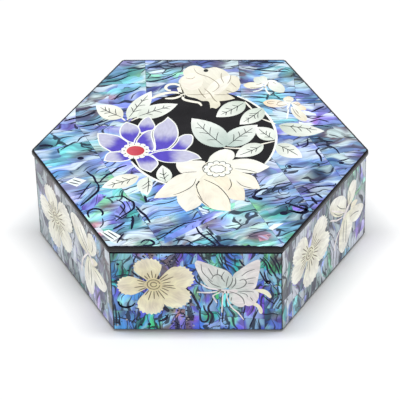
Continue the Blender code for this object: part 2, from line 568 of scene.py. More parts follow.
class Inlay:
    """The plates of one figure, drawn in the millimetres of its face."""

    def __init__(self):
        self.form = bmesh.new()
        self.grain = self.form.loops.layers.uv.new("grain")
        self.tints = self.form.loops.layers.float_color.new("tint")
        self.count = 0

    def cut(self, outline, level, base, tip=None, axis=None, stops=None):
        """One plate. Its tint goes from base to tip along the axis, or between two stops on it.

        The axis is a pair of points."""
        start, end = (Vector(point) for point in axis or (outline[0], outline[len(outline) // 2]))
        length = max((end - start).length, SHORTEST)
        along = (end - start) / length
        across = along.orthogonal()
        tip = tip or base
        first, last = stops or (0.0, 1.0)
        tops = [self.form.faces.new([self.form.verts.new((x, y, level)) for x, y in outline])]
        if stops:
            for k in range(BANDS + 1):
                share = first + (last - first) * k / BANDS
                tops = bisect(self.form, tops, start + along * length * share, along)
        corners = push_down(self.form, tops, PLATE) + [v for top in tops for v in top.verts]
        for face in {f for corner in corners for f in corner.link_faces}:
            for loop in face.loops:
                place = loop.vert.co.xy - start
                share = min(max((place.dot(along) / length - first) / (last - first), 0), 1)
                loop[self.grain].uv = (place.dot(along) + start.x * 7, place.dot(across) + start.y * 5)
                loop[self.tints] = (*(a + (b - a) * share for a, b in zip(base, tip)), 1)
        self.count += 1

    def finish(self, name, face, slot, material):
        bmesh.ops.recalc_face_normals(self.form, faces=self.form.faces)
        make_piece(name, self.form, face, [material])
        print(f"{name}: {self.count} plates")


print(f"A plate is {PLATE} mm thick")

# %% [markdown]
# ## Outlines
#
# A petal or a leaf is two smooth sides that meet at its base and its tip. It could be traced with many
# points, but four numbers say nearly all of it. Freer outlines, such as a wing, pass a smooth line through
# a few points and keep a corner where the cutter turned the saw.

# %% Curves
CURVE_REACH = 0.75


def bezier(a, b, c, d, steps):
    """Points on a cubic curve, without its last one."""
    points = []
    for k in range(steps):
        t = k / steps
        s = 1 - t
        points.append(a * s ** 3 + b * 3 * s * s * t + c * 3 * s * t * t + d * t ** 3)
    return points


def petal(base, tip, left, right, full=0.2, fine=0.72, steps=12):
    """A leaf or petal. left and right are its widths each side; full and fine say where they swell."""
    base, tip = Vector(base), Vector(tip)
    axis = tip - base
    side = axis.orthogonal().normalized() / CURVE_REACH
    up = bezier(base, base + axis * full + side * left, base + axis * fine + side * left, tip, steps)
    down = bezier(tip, base + axis * fine - side * right, base + axis * full - side * right, base, steps)
    return up + down


def smooth(points, steps=5, closed=False):
    """A smooth line through the points."""
    points = [Vector(p) for p in points]
    count = len(points)
    runs = []
    for k in range(count if closed else count - 1):
        a, b = points[k], points[(k + 1) % count]
        before = points[k - 1] if closed or k else a
        after = points[(k + 2) % count] if closed or k + 2 < count else b
        runs += bezier(a, a + (b - before) / 6, b - (after - a) / 6, b, steps)
    return runs if closed else runs + [points[-1]]


def cornered(*runs, steps=5):
    """A closed outline of smooth runs. Each run starts where the last one ends, at a corner."""
    outline = []
    for run in runs:
        outline += smooth(run, steps)[:-1]
    return outline


print("A petal's outline has", len(petal((0, 0), (10, 0), 3, 3)), "points")

# %% Strokes, rings and rims
INSET_SLACK = 0.9


def stroke(points, width, ends=0.25, steps=4):
    """The outline of a drawn line, width wide in its middle. ends is the share left at its ends."""
    line = smooth(points, steps)
    last = len(line) - 1
    left, right = [], []
    for k, point in enumerate(line):
        ahead = line[min(k + 1, last)] - line[max(k - 1, 0)]
        side = ahead.orthogonal().normalized()
        half = width / 2 * (ends + (1 - ends) * math.sin(math.pi * k / last) ** 0.6)
        left.append(point + side * half)
        right.append(point - side * half)
    return left + right[::-1]


def ring(centre, radius_x, radius_y, count=28, lobes=0, wave=0.0, turn=0.0):
    """An oval outline. With lobes, its edge is scalloped."""
    points = []
    for k in range(count):
        angle = 2 * math.pi * k / count + turn
        swell = 1 + wave * (abs(math.sin(lobes * (angle - turn) / 2)) - 0.5) if lobes else 1
        points.append(Vector((centre[0] + radius_x * swell * math.cos(angle),
                              centre[1] + radius_y * swell * math.sin(angle))))
    return points


def arc(centre, radius, start, end, steps=16):
    """Points on part of a circle, between two angles in degrees."""
    angles = [math.radians(start + (end - start) * k / steps) for k in range(steps + 1)]
    return [Vector((centre[0] + radius * math.cos(a), centre[1] + radius * math.sin(a))) for a in angles]


def drawn_in(outline, rim):
    """The same outline, smaller by a rim all round. Points that cross over at a narrow tip are left out."""
    form = bmesh.new()
    face = form.faces.new([form.verts.new((x, y, 0)) for x, y in outline])
    face.normal_update()
    bmesh.ops.inset_region(form, faces=[face], thickness=rim, use_even_offset=True, use_boundary=True)
    inner = [v.co.xy.copy() for v in face.verts]
    form.free()

    def gap(point, a, b):
        share = min(max((point - a).dot(b - a) / (b - a).length_squared, 0), 1)
        return (a + (b - a) * share - point).length

    sides = list(zip(outline, outline[1:] + outline[:1]))
    return [p for p in inner if min(gap(p, a, b) for a, b in sides) > rim * INSET_SLACK]


def draw_lines(inlay, lines, colour, level, ends=0.25):
    """Each line is its width, and then the points that it passes through."""
    for width, *points in lines:
        inlay.cut(stroke(points, width, ends), level, colour, axis=(points[0], points[-1]))


print("A ring's outline has", len(ring((0, 0), 5, 5)), "points")

# %% [markdown]
# ## Colours of shell
#
# The real sheets are blue, aqua, green and violet in broad patches, and each piece of shell shades from one
# to the next. The colours could be drawn at random, but then the patches land anywhere. So a few named
# colours are placed where a sheet shows them, as touches of a brush, and fade into each other along the
# grain. A swirl bends them a little. Blender's vector noise starts from the clock, so its seed is set
# first, and every run gives the same box.

# %% Touches of colour
COLOURS = {
    "ink": srgb(38, 42, 86), "navy": srgb(58, 76, 150), "blue": srgb(96, 124, 222),
    "periwinkle": srgb(140, 148, 236), "sky": srgb(142, 184, 243), "aqua": srgb(128, 212, 232),
    "mint": srgb(148, 228, 196), "sea": srgb(66, 172, 166), "green": srgb(84, 186, 128),
    "pale": srgb(206, 240, 240), "white": srgb(240, 250, 248), "lavender": srgb(176, 174, 228),
    "violet": srgb(122, 104, 208), "smoke": srgb(112, 110, 136), "slate": srgb(100, 120, 168),
    "umber": srgb(112, 98, 104), "rose": srgb(196, 140, 152), "moss": srgb(104, 118, 104),
}
TOUCH_STRETCH = 1.6
TOUCH_FADE = 2.2
SWIRL_PITCH, SWIRL_REACH = 0.05, 3
noise.seed_set(7)


def shell_tint(touches, place, angle, seed):
    """The tint at a place. touches has each colour's touches: their x, y and size in millimetres."""
    swirl = noise.noise_vector(Vector((place.x * SWIRL_PITCH, place.y * SWIRL_PITCH, seed)))
    place = place + swirl.xy * SWIRL_REACH
    along = Vector((math.cos(angle), math.sin(angle)))
    total, mixed = 1e-9, [0.0, 0.0, 0.0]
    for colour, places in touches.items():
        for x, y, size in places:
            away = place - Vector((x, y))
            u = away.dot(along) / (size * TOUCH_STRETCH)
            v = away.cross(along) / size
            weight = math.exp(-TOUCH_FADE * (u * u + v * v)) + 1e-7 / (0.01 + u * u + v * v)
            total += weight
            for k, c in enumerate(COLOURS[colour]):
                mixed[k] += weight * c
    return [m / total for m in mixed]


print(len(COLOURS), "colours of shell")

# %% [markdown]
# ## The shell mosaic
#
# Shell is curved, so only small flat pieces can be sawn from it. They are laid in strips, edge to edge,
# with a hair of dark glue between them. The pieces could be modelled one by one, but their joints would
# never meet so well. So one fine grid is sawn along the joints, as from a single sheet. Every piece then
# gets a grain and a tint of its own, and the cells in the joints become glue.

# %% Sawing strips and pieces
SEAM_WIDTH = 0.12
GLUE_AND_SHADE = 1


def saw(form, cells, normal, offsets):
    """Cuts cells along parallel joints. Cells in a joint become glue; the groups between are given back."""
    groups = []
    for offset in offsets:
        for edge in (offset - SEAM_WIDTH / 2, offset + SEAM_WIDTH / 2):
            cells = bisect(form, cells, normal * edge, normal)
        below, above = [], []
        for cell in cells:
            side = cell.calc_center_median().xy.dot(normal) - offset
            if abs(side) < SEAM_WIDTH / 2:
                cell.material_index = GLUE_AND_SHADE
            else:
                (above if side > 0 else below).append(cell)
        groups.append(below)
        cells = above
    return groups + [cells]


def saw_pieces(form, strip, pitch, cross, rng):
    """Cuts a strip across into pieces that are about as long as the pitch."""
    spans = [cell.calc_center_median().xy.dot(cross) for cell in strip]
    offsets = []
    at = min(spans) + pitch * rng.uniform(0.3, 1.0)
    while at < max(spans) - pitch * 0.3:
        offsets.append(at)
        at += pitch * rng.uniform(0.75, 1.35)
    return [piece for piece in saw(form, strip, cross, offsets) if piece]


print(f"The joints are {SEAM_WIDTH} mm wide")

# %% Colouring a piece
GRAIN_PLAY = 9
PATTERN_REACH = 300
TINT_SLIDE = 1.5


def colour_piece(form, piece, grain, finish, touches, seed, rng):
    """Gives one piece of shell its own grain and its tints. finish is the number of its material."""
    uv, tint = form.loops.layers.uv["grain"], form.loops.layers.float_color["tint"]
    middle = sum((cell.calc_center_median().xy for cell in piece), Vector((0, 0))) / len(piece)
    angle = grain(middle) + rng.uniform(-GRAIN_PLAY, GRAIN_PLAY)
    along = unit(angle)
    across = along.orthogonal()
    shift = (rng.uniform(-PATTERN_REACH, PATTERN_REACH), rng.uniform(-PATTERN_REACH, PATTERN_REACH))
    slide = along * rng.uniform(-TINT_SLIDE, TINT_SLIDE)
    mixed = {}
    for cell in piece:
        cell.material_index = finish
        for loop in cell.loops:
            place = loop.vert.co.xy
            if loop.vert not in mixed:
                mixed[loop.vert] = (*shell_tint(touches, place + slide, math.radians(angle), seed), 1)
            loop[uv].uv = (place.dot(along) + shift[0], place.dot(across) + shift[1])
            loop[tint] = mixed[loop.vert]


print(f"The grain of a piece strays by up to {GRAIN_PLAY} degrees")

# %% The grid of a sheet
CELL = 1.5


def sheet_grid(half_width, low, high, edges):
    """A flat grid of small cells, trimmed along its edges."""
    form = bmesh.new()
    form.loops.layers.uv.new("grain")
    form.loops.layers.float_color.new("tint")
    middle, half_height = (low + high) / 2, (high - low) / 2
    place = Matrix.Translation((0, middle, 0)) @ Matrix.Diagonal((half_width, half_height, 1, 1))
    columns, rows = math.ceil(2 * half_width / CELL), math.ceil(2 * half_height / CELL)
    bmesh.ops.create_grid(form, x_segments=columns, y_segments=rows, size=1, matrix=place)
    cells = list(form.faces)
    for normal, offset in edges:
        cells = bisect(form, cells, normal * offset, normal, clear=True)
    return form, cells


print(f"A cell is {CELL} mm wide")

# %% Laying a sheet
SHEET_DEPTH = 0.8
CROSS_PLAY = 6


def sink_sheet(form, half_width, mitre):
    """Gives the sheet its thickness. Its ends lean in by the mitre. Its rim is glue and painted shade."""
    top = list(form.faces)
    bmesh.ops.translate(form, verts=form.verts, vec=(0, 0, LEVEL["sheet"]))
    for corner in push_down(form, top, SHEET_DEPTH):
        if mitre and abs(corner.co.x) > half_width - 0.001:
            corner.co.x -= math.copysign(mitre, corner.co.x)
    bmesh.ops.recalc_face_normals(form, faces=form.faces)
    # The rim faces take the dark glue: lacquer over the sheet's edges, and painted shade in the line under
    # the lid.
    for rim in form.faces:
        if abs(rim.normal.z) < 0.5:
            rim.material_index = GLUE_AND_SHADE


def lay_sheet(name, face, materials, half_width, low, high, touches, seed, replaces, zones, edges=(),
              divide=None, mitre=0.0):
    """A sheet of shell pieces. A zone is the direction across its strips, its joints, the length of its
    pieces, the direction along its strips, its grain, and the number of its material.

    edges trim the outline, divide is the joint between two zones, and mitre is how far the ends lean in."""
    rng = random.Random(seed)
    form, cells = sheet_grid(half_width, low, high, edges)
    parts = saw(form, cells, *divide) if divide else [cells]
    count = 0
    for part, (angle, offsets, pitch, cross_angle, grain, finish) in zip(parts, zones):
        for strip in saw(form, part, unit(angle), offsets):
            if strip:
                cross = unit(cross_angle + rng.uniform(-CROSS_PLAY, CROSS_PLAY))
                for piece in saw_pieces(form, strip, pitch, cross, rng):
                    colour_piece(form, piece, grain, finish, touches, seed, rng)
                    count += 1
    sink_sheet(form, half_width, mitre)
    make_piece(name, form, face, (materials[0], SEAM, *materials[1:]), replaces)
    print(f"{name}: {count} pieces of shell")


print(f"A sheet is {SHEET_DEPTH} mm thick")

# %% [markdown]
# ## The lid's sheet
#
# A long joint crosses the lid behind its middle. In front of it the shell is curled and lively, in slanting
# strips of short pieces. Behind it the shell is calmer, the strips stand nearly straight and the pieces are
# longer. One even mosaic over the whole lid would look like tiles. So each side has joints, a grain and a
# finish of its own.

# %% The lid's sheet
LID_TOUCHES = {
    "ink": [(-81, 4, 5), (58, -19, 5)],
    "sky": [(-76, 13, 8), (-18, -44, 8), (42, -62, 6), (47, -10, 6), (64, 1, 4), (50, -12, 3),
        (66, 19, 3), (24, 44, 6), (40, 28, 7)],
    "periwinkle": [(-68, 18, 6), (-50, -12, 8), (-36, -45, 4), (45, -37, 6), (34, -34, 6), (62, -27, 4),
        (53, -1, 5), (47, 46, 7)],
    "aqua": [(-62, 6, 9), (-73, -8, 8), (-41, -32, 6), (-28, -55, 6), (7, -70, 4), (16, -48, 6),
        (56, -8, 4), (40, 65, 6), (-40, 52, 7), (-49, 49, 5), (32, 41, 5), (42, 24, 5)],
    "umber": [(-60, -6, 5), (-43, -43, 4), (-26, -61, 6), (-5, -68, 4), (6, -55, 5), (54, -22, 4),
        (70, 11, 8), (-13, 71, 6), (-60, 38, 8), (-55, 30, 6), (-52, 42, 4), (-66, 26, 6), (19, 62, 6),
        (20, 45, 3)],
    "blue": [(-66, -14, 5), (-50, -32, 4), (-56, -46, 4), (-22, -32, 4), (-8, -62, 5), (-1, -50, 6),
        (64, -17, 3), (36, 61, 6), (-2, 72, 5), (-36, 42, 6)],
    "moss": [(-61, -15, 5), (50, 60, 7), (44, 58, 5)],
    "mint": [(-48, -20, 5), (-47, -38, 5), (-49, -51, 4), (-28, -34, 5), (-24, -69, 3), (23, -44, 6),
        (30, -70, 4), (-30, 58, 6), (-17, 61, 7), (-52, 5, 4)],
    "navy": [(-56, -20, 4), (-29, -46, 4), (-18, -60, 4), (0, -62, 4), (14, -68, 4), (64, -8, 3),
        (58, 11, 5), (56, 40, 6), (38, 70, 7), (-54, 47, 4), (-22, 48, 5)],
    "lavender": [(-60, -24, 5), (-62, -33, 5), (-38, -40, 3), (35, -24, 7), (49, -16, 4), (-43, 69, 6)],
    "violet": [(-55, -32, 4), (-43, -52, 3), (-27, -51, 3), (-40, -55, 4), (12, -56, 4), (52, -27, 4),
        (60, -38, 5), (58, -4, 3), (50, 6, 5), (60, 25, 8), (-45, 19, 7), (27, 57, 4), (44, 12, 5)],
    "green": [(-34, -34, 3), (45, -66, 3)],
    "pale": [(-32, -40, 3), (-14, -55, 5), (9, -61, 3), (22, -57, 9), (49, 52, 5)],
    "sea": [(-36, -52, 4), (5, -47, 4), (38, -48, 7), (-44, 60, 7)],
    "rose": [(-50, -59, 4), (32, -65, 4), (38, -35, 3), (-47, 43, 3), (-58, 10, 4), (23, 47, 3)],
    "white": [(-32, -70, 5), (3, -66, 2)],
    "slate": [(50, -50, 6), (37, -18, 3), (72, -12, 4), (60, 18, 5), (62, 32, 6), (28, 72, 5),
        (-15, 66, 4), (-25, 70, 8), (-52, 54, 5), (-56, 22, 8)],
    "smoke": [(33, -13, 5), (70, -2, 4), (46, -30, 3), (78, 1, 5), (13, 71, 8)],
}
FIT = 0.26
LID_REACH = LID_FLAT + FIT
CORNER_TRIM = 0.2
DIVIDE = (Vector((0.08, 1)).normalized(), (14.95,))


def front_grain(place):
    return 20 if place.x < 55 else 8


def back_grain(place):
    return 24 if place.x < -22 else 14 if place.x < 20 else -2


LID_ZONES = [(27, (-47, -21, 5.2, 29.6, 53.5), 14, 108, front_grain, 2),
             (4, (-62, -25.5, 23, 51), 17, 96, back_grain, 0)]
lid_edges = [(unit(60 * k + 30), LID_REACH) for k in range(6)]
lid_edges += [(unit(60 * k), LID_REACH / math.cos(math.radians(30)) - CORNER_TRIM) for k in range(6)]
lay_sheet("lid_shell_mosaic", ON_LID, (SHELL, CURLED_SHELL), half_width=86, low=-75, high=75,
          touches=LID_TOUCHES, seed=7, replaces=["lid_shell_panel"], zones=LID_ZONES, edges=lid_edges,
          divide=DIVIDE)

# %% [markdown]
# ## Odd pieces
#
# A few pieces of the lid don't follow the strips. They lie across the others, as if gaps were filled with
# what was at hand. Their joints could be sawn into the sheet, but each would run on through a whole strip.
# So they are plates of their own, a hair higher than the sheet.

# %% Odd pieces let into the lid's sheet
ODD_PIECES = [
    ("periwinkle", "blue", (9.5, -46.4), (14.3, -47.3), (-14.8, -70.2), (-15.5, -66)),
    ("mint", "green", (0.5, -44), (5.5, -42), (8.5, -46), (3, -49.5)),
    ("mint", "green", (-34, -34.5), (-28.5, -31.5), (-25.5, -40), (-29.5, -46.5)),
    ("mint", "sea", (-47.5, -58.5), (-38, -55.5), (-40, -60.5), (-44, -62)),
    ("sea", "aqua", (-33, -60), (-30.5, -49), (-26.5, -53), (-24, -57)),
    ("rose", "rose", (30, -64.5), (36.8, -63), (35, -67.5), (31, -68.5)),
    ("lavender", "blue", (-50.5, -27.5), (-50, -33), (-57, -42), (-58.8, -41.4), (-55.5, -31)),
    ("periwinkle", "blue", (-49, -33.5), (-44.5, -34.5), (-52, -45.5), (-56.2, -46), (-57, -43.4)),
    ("violet", "periwinkle", (-36, -39), (-32.5, -40), (-31.5, -45), (-34, -49), (-39, -54),
     (-40.5, -48)),
    ("violet", "blue", (47, -45.5), (52, -47.5), (54, -44.5), (50.5, -42), (46.5, -43)),
]
odd = Inlay()
for base, tip, *corners in ODD_PIECES:
    odd.cut(corners, LEVEL["growth"] - 5 * LIFT, COLOURS[base], COLOURS[tip])
odd.finish("lid_odd_pieces", ON_LID, "abalone_shell", SHELL)

# %% [markdown]
# ## Growth lines
#
# The strongest growth lines cross the lid as dark strokes of several millimetres, with a few dark spots
# between them. The finish draws fine lines by itself, but it can't put a strong one in a given place. So
# those are drawn one by one, and so are two small rings, three pale slivers and the worn black edge in
# front.

# %% Growth lines on the lid
LID_GROWTH = [
    (1.3, (-52.5, -51.5), (-53.5, -47.5), (-51, -45), (-47.5, -45.5), (-46, -48), (-46.5, -50)),
    (1.2, (-56, -16.5), (-54, -19), (-52, -21), (-51, -24), (-49.4, -27)),
    (1.4, (-49.4, -26.5), (-49.3, -31), (-52, -35.5), (-57.5, -43)),
    (1.3, (-36, -12), (-40, -14), (-43, -17.5), (-46, -20), (-49, -25)),
    (0.7, (-53, -25), (-55, -29), (-59, -38)),
    (1.2, (-41, -36), (-37, -35.5), (-34, -38), (-31.5, -40), (-31, -44), (-33, -47), (-36, -50),
     (-39.5, -54)),
    (0.8, (-40, -38), (-37, -40), (-35.5, -44), (-38, -50)),
    (1.4, (-30, -43), (-27.5, -47), (-25, -50), (-22.5, -55)),
    (1.4, (-31.5, -50), (-31, -54), (-31.5, -60)), (1.4, (-40.5, -60), (-38, -58), (-35, -55)),
    (1, (-38, -70), (-36.5, -66), (-35, -63)),
    (0.9, (-19, -68), (-15, -64.5), (-11, -60), (-6, -56), (0, -54)), (1.3, (-26, -35), (-25, -40)),
    (0.7, (-46, -52), (-45.5, -56), (-47, -59)), (0.9, (-11, -69), (-8, -67.5), (-4, -68), (-1, -71)),
    (0.7, (-22, -42), (-15, -40.5), (-10, -38)), (0.5, (-20, -57), (-13, -57.5), (-5, -55)),
    (1.3, (-26.5, -70), (-25, -68), (-22, -67.8), (-20, -70), (-22, -71.6), (-25.5, -71.6)),
    (1.2, (0, -58), (1.5, -62), (4, -65), (8, -69), (10, -71.6)), (0.8, (5, -61), (8, -65), (12, -71)),
    (1.5, (46, -46), (50, -47.5), (53, -46), (53.5, -43), (50, -42)),
    (0.7, (38, -36), (42, -37), (46, -35)), (0.91, (13, -68), (16, -67), (20, -68)),
    (1.4, (28, -35), (29, -32), (32, -30), (35, -29.7)), (2.4, (27, -35), (29, -37), (32, -37.5)),
    (0.81, (36.5, -31), (38, -28), (40, -26.3), (44, -25.5), (46, -24.5)),
    (1.6, (43, -40), (47, -42), (51, -44), (54, -46), (52, -48), (48, -47), (45, -46)),
    (0.81, (51, -33), (58, -28.5), (66.9, -27.2), (68, -25.4)), (1.6, (56, -36), (58.8, -41.3)),
    (1.2, (58, -33), (61.5, -36.7)), (1.2, (60, 2), (58.5, -1), (60.5, -5), (61, -9)),
    (0.91, (59, 3), (63, 4), (68, 1), (70, -3)), (1, (54, 9), (54, 4), (51, 2)), (1, (62, 7), (67, 6.5)),
    (1.2, (56, 30), (60, 33), (62.6, 34.7)), (0.81, (52, 27), (57, 25), (62, 27)),
    (0.81, (55, 22), (60, 24), (65, 22)), (0.81, (54, 18), (59, 19.5), (66, 18)),
    (0.91, (69, -9), (75, -6.5)), (1.8, (-81, 2.8), (-78, 3.5), (-74, 3)),
    (0.81, (-62, 6), (-60, 10), (-56, 11.5)), (0.91, (-49.9, 56.8), (-46, 58.5), (-42, 61), (-37, 64)),
    (0.81, (-50, 55), (-44, 56), (-38, 60)), (0.91, (-45, 40), (-42, 45), (-36, 47), (-32, 51)),
    (1.2, (-69.6, 22.6), (-66, 24.5), (-60, 26.5), (-54, 30)), (1.2, (-62, 18), (-55, 20), (-47, 24)),
    (0.91, (-70, 0), (-64, 5.5), (-62, 6)), (0.91, (-30, 66), (-22, 68), (-12, 67)),
    (0.81, (-28, 55), (-20, 57), (-14, 61)), (0.91, (22, 66), (32, 64), (44, 63)),
    (0.81, (34, 44), (45, 46), (55, 44)), (1, (28, 71.6), (36, 71), (42, 70.4)),
]
LID_SPOTS = [(42.5, -48, 2.0), (31, -37, 1.2), (71, -10, 1.4), (-59.5, -6.5, 1.7), (45, -12.5, 1.2)]
LID_RINGS = [(42.5, -31.5, 2.7), (45, -12.5, 1.8)]
SLIVERS = [
    [(-66, -25), (-61.5, -21.3), (-55.5, -23.5), (-60, -28.3)],
    [(-46.5, -62.5), (-42.5, -60.3), (-36, -65), (-40.5, -69)],
    [(35, -59), (37, -60.5), (42.5, -55.3), (38, -55.8)],
]
SLIVER_STROKES = [
    (0.7, (-64, -25), (-59, -26.5)), (0.7, (-62.5, -23), (-58, -25)), (0.7, (-45.5, -62), (-39.5, -67.5)),
    (0.7, (-43, -61.5), (-38, -66)),
]
INK = srgb(20, 24, 52)
print(len(LID_GROWTH), "strong growth lines")

# %% The worn edge
EDGE_HALF, NICK_STEP = 41.0, 1.4
WORN_FROM, WORN_TO = -12, 27
WORN_NICK, SMALL_NICK = (0.5, 1.7), (0.2, 0.7)


def nicked_edge():
    """A dark worn band along the sheet's front edge, deepest near its middle."""
    rng = random.Random(5)
    foot = -LID_REACH + 0.02
    outline = [Vector((-EDGE_HALF, foot)), Vector((EDGE_HALF, foot))]
    for k in range(round(2 * EDGE_HALF / NICK_STEP) - 1):
        x = EDGE_HALF - NICK_STEP * (k + 1)
        depth = rng.uniform(*(WORN_NICK if WORN_FROM < x < WORN_TO else SMALL_NICK))
        outline.append(Vector((x, foot + depth)))
    return outline


growth = Inlay()
for corners in SLIVERS:
    growth.cut(corners, LEVEL["growth"], COLOURS["white"])
draw_lines(growth, LID_GROWTH, INK, LEVEL["growth"] + 4 * LIFT, 0.4)
draw_lines(growth, SLIVER_STROKES, INK, LEVEL["growth"] + 4 * LIFT)
for x, y, radius in LID_SPOTS:
    growth.cut(ring((x, y), radius, radius * 0.7, 14), LEVEL["growth"] + 4 * LIFT, INK)
for x, y, radius in LID_RINGS:
    growth.cut(stroke(arc((x, y), radius, 20, 345, 14), 0.4, 0.8), LEVEL["growth"] + 4 * LIFT, INK)
growth.cut(nicked_edge(), LEVEL["growth"] + 5 * LIFT, INK)
growth.finish("lid_growth_lines", ON_LID, "abalone_shell", LINE)

# %% [markdown]
# ## The round black field and its vine
#
# Behind the flowers lies a round field of black lacquer, edged by a thin vine that breaks off where the
# flowers cover it. Stems and tendrils could be curves with a thickness, but those would be round rods. Real
# ones are narrow strips, sawn along a smooth line, so each is a flat stroke.

# %% The black field
CREAM = srgb(246, 243, 228)
WHITE = srgb(244, 247, 240)
FIELD_BLACK = srgb(12, 11, 13)
MIDDLE = (0, 9)
RADIUS = 38.4

field = Inlay()
field.cut(ring(MIDDLE, RADIUS, RADIUS, 72), LEVEL["field"], FIELD_BLACK)
field.finish("black_field", ON_LID, "black_lacquer", BLACK)

# %% Vine and stems
VINE_RUNS = ((62, -31), (208, 247))
STEMS = [
    (1.9, (-26, 41), (-21, 44.5), (-15, 46), (-10, 45)),
    (1.6, (-9.5, 44), (-9.5, 40.5), (-5, 38.5), (-1.5, 37.5), (0, 35)),
    (1.5, (-19, 41), (-14, 41.3), (-10.5, 43.5)), (0.9, (-35.5, 23), (-32, 25.5), (-28, 26.8)),
    (0.9, (-38.5, 23), (-41, 26)), (0.9, (-37.5, 23.5), (-36.5, 28)), (1.0, (22, 38.5), (26, 32)),
    (1.0, (31, 24.5), (38, 20.5)), (1.0, (12, 2), (20, 1.2), (28, 3.5), (38, 7)),
    (1.6, (-9.5, 45), (-11, 50.5), (-14, 52.8), (-17.5, 52.3), (-19, 50), (-18, 48), (-16.2, 47.6)),
    (2.4, (-12.5, 50), (-11, 46.5), (-9.3, 42.5)),
]
vine = Inlay()
for start, end in VINE_RUNS:
    vine.cut(stroke(arc(MIDDLE, RADIUS, start, end), 1.3, 0.6), LEVEL["vine"], WHITE)
draw_lines(vine, STEMS, CREAM, LEVEL["vine"] + 3 * LIFT, 0.45)
vine.finish("vine", ON_LID, "mother_of_pearl", PEARL)

# %% [markdown]
# ## Leaves
#
# Each leaf is sawn from mother of pearl. Its veins are scratched into it and filled with black lacquer.
# Real scratches could be cut into the plate, but once filled they lie level with it. So each vein is a thin
# dark strip on the leaf, a little irregular, as a hand would scratch it.

# %% Leaves and their veins
LEAF_GREEN = srgb(198, 210, 196)
LEAF_PALE = srgb(218, 226, 214)
LEAF_CREAM = srgb(230, 229, 212)
FIELD_GREEN = srgb(180, 198, 190)
LEAVES = [
    ((-40, 25.5), (-54.2, 35.3), 5.9, 5.6, LEAF_CREAM), ((-37.3, 24.5), (-26.2, 47), 4.6, 5.2, LEAF_PALE),
    ((-33, 26), (-12.3, 36.5), 5.2, 5.2, LEAF_PALE), ((22.2, 38), (7.6, 26), 5.4, 5.4, LEAF_GREEN),
    ((31.5, 33), (19.7, 20), 5.4, 4.6, LEAF_GREEN), ((12.6, 2.3), (-4.8, 25), 7.6, 7.9, FIELD_GREEN),
    ((13.5, 3), (28.8, 19.8), 7.0, 6.0, FIELD_GREEN), ((37.5, 8), (28, 18), 4.6, 5.0, LEAF_PALE),
    ((32, 4), (18, -5.5), 4.4, 5.2, LEAF_PALE), ((39.5, 19.5), (62.7, 14.8), 3.4, 6.8, LEAF_GREEN),
    ((38.5, 4.5), (51.5, -6), 4.6, 5.4, LEAF_PALE), ((-29.5, -20.3), (-47.8, -29), 5.0, 4.8, LEAF_CREAM),
    ((-25, -20.5), (-24.8, -35), 2.4, 5.4, LEAF_PALE), ((-16, -25), (-18.3, -12), 4.0, 3.8, LEAF_PALE),
]
PEN = srgb(46, 50, 52)
MIDRIB, SIDE_VEIN = 0.46, 0.40
LONG_LEAF = 17


def leaf_veins(inlay, base, tip, left, right, rng):
    """A midrib, and side veins that leave it unevenly and lean towards the tip."""
    base, tip = Vector(base), Vector(tip)
    axis = tip - base
    ahead = axis.normalized()
    side = ahead.orthogonal()
    lines = [(MIDRIB, base + axis * 0.06, base + axis * 0.45 + side * 0.4, base + axis * 0.84)]
    for sign, width in ((1, left), (-1, right)):
        for k in range(3 if axis.length > LONG_LEAF else 2):
            start = base + axis * (0.24 + 0.19 * k + rng.uniform(-0.04, 0.04)) + side * 0.25
            reach = width * (0.60 - 0.09 * k) * rng.uniform(0.75, 1.1)
            end = start + ahead * reach * rng.uniform(0.7, 1.2) + side * sign * reach
            lines.append((SIDE_VEIN, start, (start + end) / 2 + ahead * 0.3, end))
    draw_lines(inlay, lines, PEN, LEVEL["leaf"] + 6 * LIFT, 0.4)


leaves, veins = Inlay(), Inlay()
vein_rng = random.Random(3)
for k, (base, tip, left, right, tone) in enumerate(LEAVES):
    leaves.cut(petal(base, tip, left, right, 0.18, 0.62), LEVEL["leaf"] + 1.5 * LIFT * (k % 3), tone, WHITE)
    leaf_veins(veins, base, tip, left, right, vein_rng)
leaves.finish("leaves", ON_LID, "mother_of_pearl", PEARL)
veins.finish("leaf_veins", ON_LID, "black_lacquer", LINE)

# %% [markdown]
# ## The peony
#
# A full bloom stands at the back of the lid, on a short green stalk. Each of its petals could be a plate,
# but they lie so close together that their edges would hardly show. So one broad plate carries the bloom,
# with two paler ones on it, and scratched lines part its petals.

# %% Peony
PEONY_RUNS = [
    [(-9, 44.5), (-11, 50), (-12.5, 55), (-11, 58.5), (-9.8, 59.5)],
    [(-9.8, 59.5), (-10.5, 63), (-8.5, 66.5), (-5.5, 68.2), (-2, 67.5), (0.5, 65.5)],
    [(0.5, 65.5), (3, 66), (6, 66.8), (10, 65), (12.5, 62.5), (14, 60)],
    [(14, 60), (16, 59.8), (18.3, 58.5), (19, 55.5), (19.6, 53)],
    [(19.6, 53), (19, 49.5), (17.5, 47), (14.5, 45.5), (12.5, 44.8)], [(12.5, 44.8), (15, 43), (17, 41)],
    [(17, 41), (13, 39.5), (9, 38.8)], [(9, 38.8), (9.5, 35.5), (7.5, 32.6)],
    [(7.5, 32.6), (5.5, 33.5), (4.5, 33)],
    [(4.5, 33), (3.5, 38.5), (0, 39), (-3, 41), (-7, 42.5), (-9, 44.5)],
]
PEONY_LINES = [
    (0.5, (1, 49), (4, 45), (6, 40.5), (8, 38)), (0.5, (-2, 49), (-0.5, 45), (2, 41)),
    (0.4, (-5, 66), (-3.5, 62.5), (-1, 60.5), (3, 58.5), (7, 54.5), (8.5, 51), (7, 48), (5, 46)),
    (0.4, (9.5, 62), (9.5, 58), (11, 53.5)), (0.4, (14.5, 60.5), (14, 56), (12.8, 53.2)),
    (0.35, (14.5, 54), (17.5, 50)), (0.4, (12, 48), (16, 45.6)),
    (0.35, (-12, 54), (-11, 50), (-9.6, 46.5)), (0.35, (-8, 44.3), (-2, 44), (4, 45)),
    (0.35, (6, 44), (13, 44)), (0.35, (-9, 58), (-6, 57), (-4, 59)),
]
